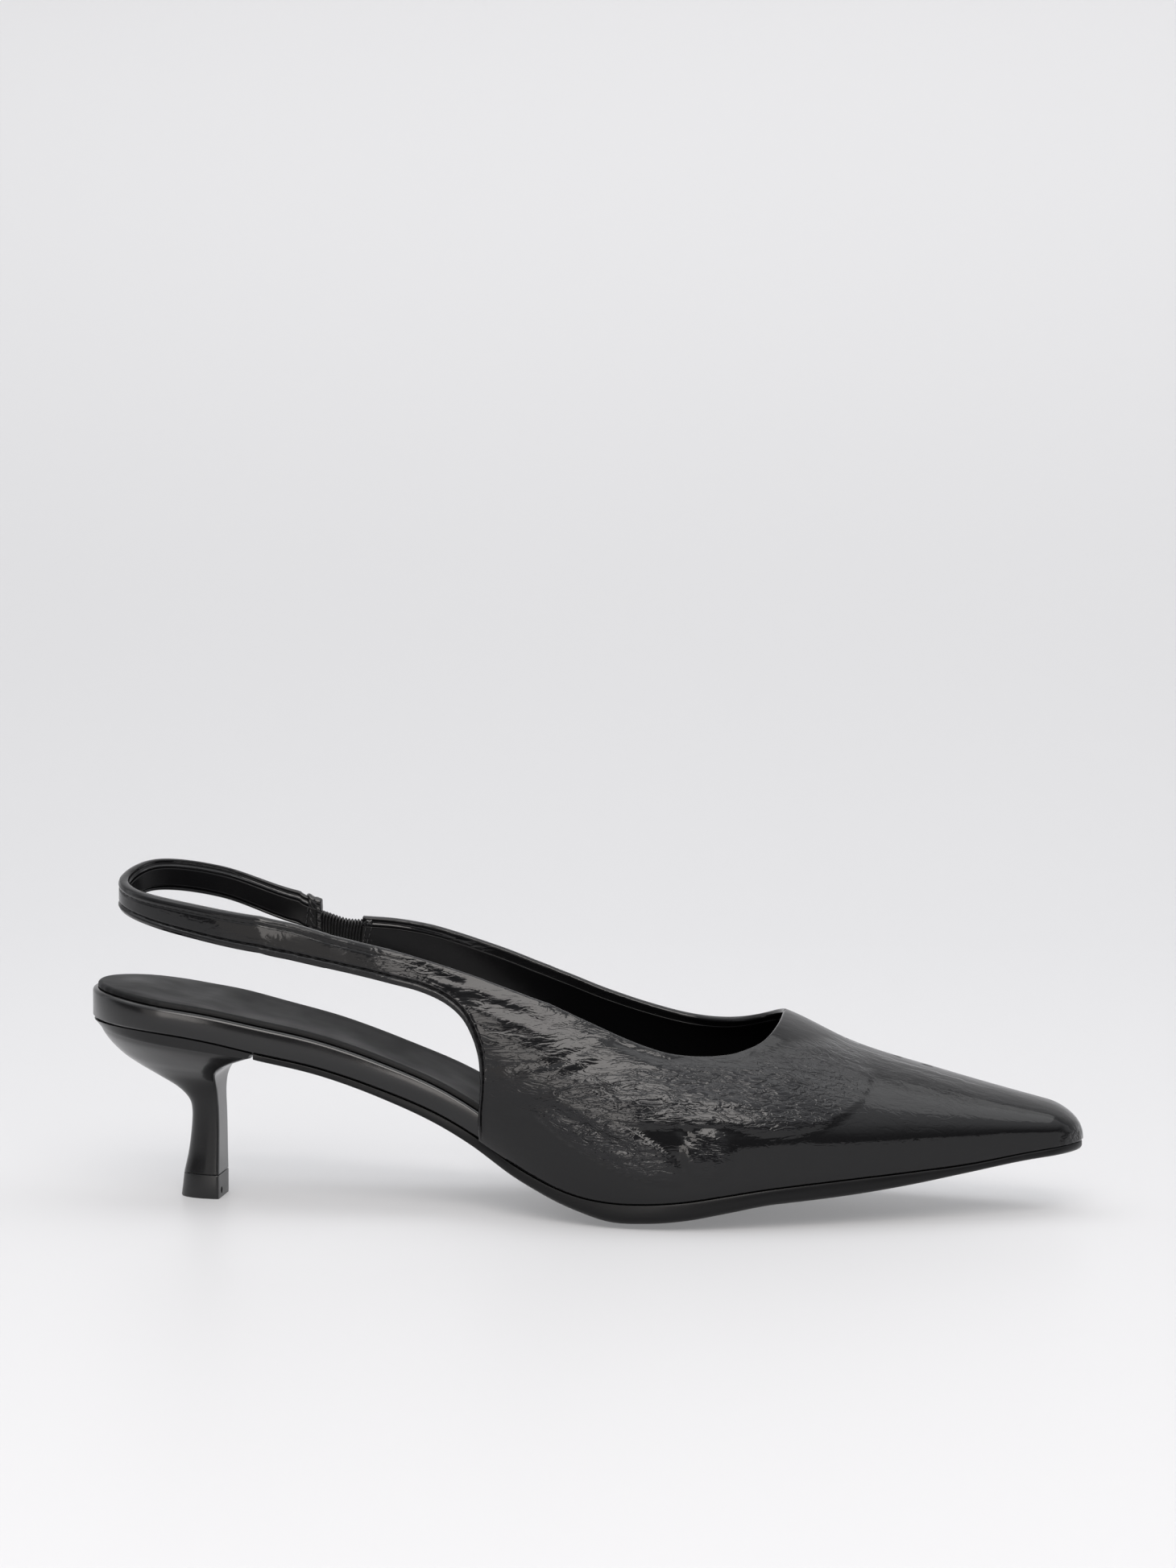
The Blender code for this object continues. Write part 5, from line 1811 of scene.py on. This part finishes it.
PLAIN_FINISHES = {
    # Smooth lacquered rim: one thin bright line round the seat and the waist.
    "patent_rim_smooth": PlainFinish("#121213", 0.20, 0.5 * MM, 0.006 * MM, wave_depth=0.15 * MM),
    # Satin sock leather: a soft dark sheen over the padding, with no sharp mirror in it.
    "sock_leather_satin": PlainFinish(
        "#0c0c0d", 0.50, 0.7 * MM, 0.02 * MM, wave_depth=0.3 * MM, specular=0.16,
    ),
    # Lining: near-black leather, darker and duller than the patent; its colour is darkened further as
    # painted shade, so that the inside of the vamp reads as lying in shade.
    "lining_leather_painted_shade": PlainFinish(
        "#09090a", 0.24, 0.6 * MM, 0.012 * MM, wave_depth=0.25 * MM, specular=0.18,
    ),
    # Lacquered heel: tall clear mirrors of the room, with hardly any grain.
    "heel_cover_lacquered": PlainFinish(
        "#101011", 0.13, 0.6 * MM, 0.004 * MM, wave_depth=0.1 * MM, specular=0.36,
    ),
    # Moulded rubber: a dull edge below the bright heel.
    "top_lift_rubber_moulded": PlainFinish("#121213", 0.34, 0.4 * MM, 0.02 * MM),
    # Moulded sole: a quiet dark edge between the leather and the floor.
    "outsole_resin_moulded": PlainFinish("#0e0e0f", 0.36, 0.5 * MM, 0.02 * MM, specular=0.22),
    # Ribbed textile: deep black between the ribs and a faint sheen on them.
    "elastic_ribbed_textile": PlainFinish(
        "#0b0b0c", 0.42, 0.25 * MM, 0.03 * MM, sheen=0.04, specular=0.5,
    ),
    # Twisted thread: dull, so that the stitches stay quiet in their groove.
    "thread_twisted_polyester": PlainFinish("#0d0d0e", 0.6, 0.2 * MM, 0.03 * MM, specular=0.2),
    # Waxed thread: small light dots along the strap's folded end.
    "tie_thread_waxed": PlainFinish("#2b2b2c", 0.35, 0.2 * MM, 0.02 * MM, specular=0.5),
    # Shiny yarn, coloured lighter than the elastic as a painted highlight, with a real gloss as well: light
    # loops along the elastic's upper edge.
    "elastic_edge_yarn_painted_highlight": PlainFinish("#262627", 0.30, 0.2 * MM, 0.02 * MM, specular=0.6),
}


@dataclass(frozen=True)
class CrinklePatch:
    """A patch of crinkled leather on the outer side view, in millimetres."""

    centre: tuple[float, float]
    radii: tuple[float, float]
    tilt_degrees: float
    amount: float


def paint_grain(leather: bpy.types.Object) -> None:
    """Paint how strongly the lacquer is crinkled into an attribute of the leather.

    Args:
        leather: The upper's leather.
    """
    mesh = leather.data
    flat = np.empty(len(mesh.vertices) * 3)
    mesh.vertices.foreach_get("co", flat)
    points = flat.reshape(-1, 3)
    amount = np.full(len(points), CRINKLE_EVERYWHERE)
    for patch in CRINKLE_PATCHES:
        turn = math.radians(patch.tilt_degrees)
        across = points[:, 0] - patch.centre[0] * MM
        up = points[:, 2] - patch.centre[1] * MM
        first = (across * math.cos(turn) + up * math.sin(turn)) / (patch.radii[0] * MM)
        second = (up * math.cos(turn) - across * math.sin(turn)) / (patch.radii[1] * MM)
        share = ease(1.5 - np.sqrt(first ** 2 + second ** 2))
        side = np.where(points[:, 1] < 0, 1.0, 0.6)
        amount = np.maximum(amount, patch.amount * share * side)
    layer = mesh.attributes.new("crinkle", "FLOAT", "POINT")
    layer.data.foreach_set("value", amount)


@dataclass(frozen=True)
class SoftBox:
    """A soft box: where it hangs, what it points at, its size in metres, its power in watts."""

    name: str
    place: tuple[float, float, float]
    aim: tuple[float, float, float]
    size: tuple[float, float]
    power: float
    colour: str = WARM_WHITE


# The large box lights the ground behind the shoe; the others draw the shoe's long highlights.
SOFT_BOXES = (
    SoftBox("overhead", (0.0, 0.45, 1.6), (0.0, 0.75, 0.0), (2.4, 1.5), OVERHEAD_POWER, "#ffffff"),
    SoftBox("front_box", (0.11, -0.98, 0.92), (0.0, 0.0, 0.04), (0.85, 0.72), FRONT_POWER),
    SoftBox("far_card", (-0.80, -1.27, 0.10), (0.0, 0.0, 0.05), (0.55, 0.6), FAR_CARD_POWER),
    SoftBox("side_card", (-0.40, -1.42, 0.20), (0.0, 0.0, 0.05), (0.34, 0.62), CARD_POWER),
)


@dataclass(frozen=True)
class Studio:
    """The pale sweep, the soft lights and the camera."""

    camera_place: tuple[float, float, float] = (98.5 * MM, -852.2 * MM, 159.2 * MM)
    turn_degrees: float = 6.5
    pitch_degrees: float = 3.3
    lens: float = 101.25
    sensor: float = 36.0
    sweep_start: float = 0.62
    sweep_radius: float = 0.75
    sweep_height: float = 3.2
    half_width: float = 4.0
    front: float = -0.34

    def floor(self) -> bpy.types.Object:
        """Build the floor, which turns up into the back wall in one sweep.

        Returns:
            The floor.
        """
        turns = np.linspace(0, math.pi / 2, 25)
        profile = [(self.front, 0.0), (0.0, 0.0), (self.sweep_start, 0.0)]
        profile += [
            (self.sweep_start + self.sweep_radius * math.sin(t), self.sweep_radius * (1 - math.cos(t)))
            for t in turns[1:]
        ]
        profile.append((self.sweep_start + self.sweep_radius, self.sweep_height))
        widths = np.linspace(-self.half_width, self.half_width, 9)
        places = np.array([[(x, y, z) for x in widths] for y, z in profile])
        sweep = lay_grid("studio_sweep", places, 80.0)
        # A pale matt ground that gives off a little light, so that the shoe's shadow stays soft.
        material, shader = new_material(
            "matt_white_sweep", Base_Color=linear("#b0b0b1"), Roughness=0.42, IOR=1.3,
            Specular_IOR_Level=0.35, Emission_Color=linear("#fdfdff"), Emission_Strength=0.22,
        )
        tree = material.node_tree
        place = add_node(tree, "ShaderNodeTexCoord").outputs["Object"]
        height = add_node(tree, "ShaderNodeSeparateXYZ", None, {"Vector": place}).outputs["Z"]
        # Painted light: the sweep's colour rises from #afafb0 on the floor to #c4c4c5 up the wall, lighter
        # higher up to make up for the lamps' light falling off there.
        tone = add_node(tree, "ShaderNodeMapRange", {"interpolation_type": "SMOOTHSTEP"}, {
            "Value": height, "From Min": 0.10, "From Max": 0.55, "To Min": 0.0, "To Max": 1.0,
        }).outputs["Result"]
        colour = add_node(tree, "ShaderNodeMix", {"data_type": "RGBA"}, {
            0: tone, 6: linear("#afafb0"), 7: linear("#c4c4c5"),
        }).outputs[2]
        tree.links.new(colour, shader.inputs["Base Color"])
        dress(sweep, material)
        return sweep

    def soft_light(self, box: SoftBox) -> None:
        """Hang one soft box.

        Args:
            box: The soft box.
        """
        data = bpy.data.lights.new(box.name, "AREA")
        data.shape = "RECTANGLE"
        data.size, data.size_y = box.size
        data.energy = box.power
        data.color = linear(box.colour)[:3]
        lamp = bpy.data.objects.new(box.name, data)
        bpy.context.scene.collection.objects.link(lamp)
        lamp.location = box.place
        lamp.rotation_euler = (Vector(box.aim) - Vector(box.place)).to_track_quat("-Z", "Y").to_euler()

    def surroundings(self) -> None:
        """Light the room: bright above and behind, dark where the photographer stands."""
        world = bpy.data.worlds.new("room")
        bpy.context.scene.world = world
        world.use_nodes = True
        tree = world.node_tree
        tree.nodes.clear()
        direction = add_node(tree, "ShaderNodeTexCoord").outputs["Generated"]
        split = add_node(tree, "ShaderNodeSeparateXYZ", None, {"Vector": direction})
        lift = add_node(tree, "ShaderNodeMapRange", {"interpolation_type": "SMOOTHSTEP"}, {
            "Value": split.outputs["Z"], "From Min": 0.05, "From Max": 0.85, "To Min": 0.0, "To Max": 1.0,
        }).outputs["Result"]
        behind = add_node(tree, "ShaderNodeMapRange", {"interpolation_type": "SMOOTHSTEP"}, {
            "Value": split.outputs["Y"], "From Min": -0.35, "From Max": 0.5, "To Min": 0.0, "To Max": 1.0,
        }).outputs["Result"]
        both = add_node(tree, "ShaderNodeMath", {"operation": "MAXIMUM"}, {0: lift, 1: behind}).outputs[0]
        level = add_node(tree, "ShaderNodeMapRange", None, {
            "Value": both, "From Min": 0.0, "From Max": 1.0, "To Min": ROOM_DARK, "To Max": ROOM_BRIGHT,
        }).outputs["Result"]
        room = add_node(tree, "ShaderNodeBackground", None, {"Color": linear("#fbfcff"), "Strength": level})
        seen = add_node(tree, "ShaderNodeBackground", None, {"Color": linear("#e9e9ea"), "Strength": 1.0})
        camera_ray = add_node(tree, "ShaderNodeLightPath").outputs["Is Camera Ray"]
        shown = add_node(tree, "ShaderNodeMixShader", None, {
            0: camera_ray, 1: room.outputs[0], 2: seen.outputs[0],
        })
        add_node(tree, "ShaderNodeOutputWorld", None, {"Surface": shown.outputs[0]})

    def camera(self) -> None:
        """Set the camera at the photograph's place and angle."""
        turn, pitch = math.radians(self.turn_degrees), math.radians(self.pitch_degrees)
        level = math.cos(pitch)
        forward = Vector((-math.sin(turn) * level, math.cos(turn) * level, -math.sin(pitch)))
        right = Vector((math.cos(turn), math.sin(turn), 0.0))
        up = right.cross(forward)
        data = bpy.data.cameras.new("camera")
        data.sensor_fit = "HORIZONTAL"
        data.sensor_width = self.sensor
        data.lens = self.lens
        data.clip_start = 0.02
        data.clip_end = 60.0
        item = bpy.data.objects.new("camera", data)
        bpy.context.scene.collection.objects.link(item)
        axes = Matrix((right, up, -forward)).transposed().to_4x4()
        item.matrix_world = Matrix.Translation(self.camera_place) @ axes
        bpy.context.scene.camera = item

    def build(self) -> None:
        """Build the studio."""
        bpy.context.scene.view_settings.view_transform = "Standard"
        self.floor()
        self.surroundings()
        for box in SOFT_BOXES:
            self.soft_light(box)
        self.camera()


# Creases of the outer quarter: the fan from the opening's foot, the rucks above the ball and the
# folds under the throat. Points are x and z on the side view, widths and depths in millimetres.
CREASES = (
    Crease(((-16.0, 30.0), (-6.8, 34.1), (3.4, 37.6), (14.0, 41.0)), 2.2, 0.22),
    Crease(((-12.0, 34.5), (-4.0, 37.5), (7.4, 41.2), (15.5, 44.6)), 2.0, 0.20),
    Crease(((-14.0, 39.5), (-4.0, 41.5), (5.0, 45.0), (10.0, 49.0)), 2.2, 0.18),
    Crease(
        ((-17.0, 29.0), (-8.9, 30.8), (-2.1, 29.6), (3.4, 27.0), (8.8, 24.0), (15.5, 21.0), (23.0, 18.0)),
        2.6, 0.42,
    ),
    Crease(((-10.0, 27.0), (-3.0, 25.5), (4.0, 22.5), (10.0, 19.5)), 2.0, 0.20),
    Crease(((-15.0, 26.5), (-9.0, 25.0), (-2.0, 22.0)), 1.8, 0.16),
    Crease(((26.5, 30.0), (31.0, 24.0), (34.3, 21.0), (35.8, 16.5)), 2.0, 0.34),
    Crease(((31.5, 26.0), (36.0, 22.5), (39.0, 18.0)), 1.8, 0.20),
    Crease(((46.4, 46.0), (48.0, 41.1), (51.0, 38.2), (57.5, 34.6)), 1.9, 0.32),
    Crease(((52.5, 43.0), (57.0, 40.0), (64.0, 37.4)), 2.2, 0.16),
    Crease(((10.0, 47.5), (16.9, 45.2), (25.6, 42.6), (31.7, 42.4), (44.3, 41.8)), 2.6, 0.50),
    Crease(((-4.0, 33.0), (8.0, 34.5), (22.0, 36.0), (36.0, 35.5), (50.0, 33.0)), 3.0, 0.14),
    Crease(((0.0, 30.5), (14.0, 31.0), (30.0, 30.5), (48.0, 30.0), (62.0, 30.5)), 2.8, 0.16),
    Crease(((-24.5, 52.0), (-17.0, 49.5), (-9.0, 48.5)), 2.2, 0.16),
    Crease(((-27.0, 58.0), (-19.0, 56.0), (-10.0, 53.0), (0.0, 50.0)), 2.6, 0.16),
    Crease(((-40.0, 66.5), (-33.0, 63.0), (-26.0, 60.5)), 2.0, 0.14),
)

# Where the lacquer is crinkled, strongest above the ball and where the foot bends the vamp.
CRINKLE_PATCHES = (
    CrinklePatch((-4.0, 47.5), (26.0, 13.0), -18.0, 0.26),
    CrinklePatch((2.0, 38.0), (26.0, 7.0), 8.0, 0.34),
    CrinklePatch((30.0, 34.5), (34.0, 6.5), 0.0, 1.0),
    CrinklePatch((10.0, 23.0), (17.0, 4.6), -26.0, 1.5),
    CrinklePatch((35.5, 19.5), (5.5, 6.0), 0.0, 0.45),
    CrinklePatch((55.0, 34.5), (17.0, 8.0), 4.0, 1.1),
    CrinklePatch((82.0, 34.0), (26.0, 10.0), -10.0, 0.15),
    CrinklePatch((127.2, 19.0), (2.8, 3.4), 0.0, 0.5),
    CrinklePatch((-41.0, 65.0), (14.0, 6.0), -16.0, 0.26),
)


@dataclass
class Part:
    """One finished piece: what it stands for in the CAD model and its material slot."""

    piece: bpy.types.Object
    replaced: tuple[str, ...]
    slot: str
    material: bpy.types.Material

    def mount(self) -> None:
        """Dress the piece, ride it on the shoe and hide the CAD parts that it stands for."""
        dress(self.piece, self.material)
        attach(self.piece, BODY)
        if self.replaced:
            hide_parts(*self.replaced)
        LOG.info("%s: %d faces", self.piece.name, len(self.piece.data.polygons))


def main() -> None:
    """Build the shoe and the studio."""
    logging.basicConfig(level=logging.INFO)
    last = Last()
    # Crinkled patent: its fine folds break the room into short bright strokes on near-black lacquer.
    patent = PatentLeather().build("patent_leather_crinkled")
    plain = {name: finish.build(name) for name, finish in PLAIN_FINISHES.items()}
    rim = plain["patent_rim_smooth"]
    upper = Upper(last, creases=CREASES)
    leather, inner, *rows = upper.build()
    bottom = Bottom(last)
    heel = HeelStack(last)
    joint = ElasticJoint(last)
    tab, fold, *ties, loops = joint.folds()
    folds = (tab, fold)
    sock = bottom.sock()
    parts = [
        Part(leather, ("upper",), "patent_leather", patent),
        Part(inner, (), "patent_leather", plain["lining_leather_painted_shade"]),
        *[Part(row, (), "patent_leather", plain["thread_twisted_polyester"]) for row in rows],
        Part(bottom.footbed(), ("footbed",), "wrapped_rim", rim),
        Part(sock, ("sock",), "sock_leather", plain["sock_leather_satin"]),
        Part(bottom.outsole(), ("outsole",), "outsole_leather", plain["outsole_resin_moulded"]),
        Part(heel.heel(), ("heel",), "heel_gloss", plain["heel_cover_lacquered"]),
        Part(heel.top_lift(), ("top_lift",), "lift_rubber", plain["top_lift_rubber_moulded"]),
        Part(joint.band(), ("elastic",), "ribbed_elastic", plain["elastic_ribbed_textile"]),
        *[Part(fold, (), "patent_leather", rim) for fold in folds],
        *[Part(row, (), "patent_leather", plain["tie_thread_waxed"]) for row in ties],
        Part(loops, (), "ribbed_elastic", plain["elastic_edge_yarn_painted_highlight"]),
    ]
    for part in parts:
        part.mount()
    Studio().build()


if __name__ == "__main__":
    main()
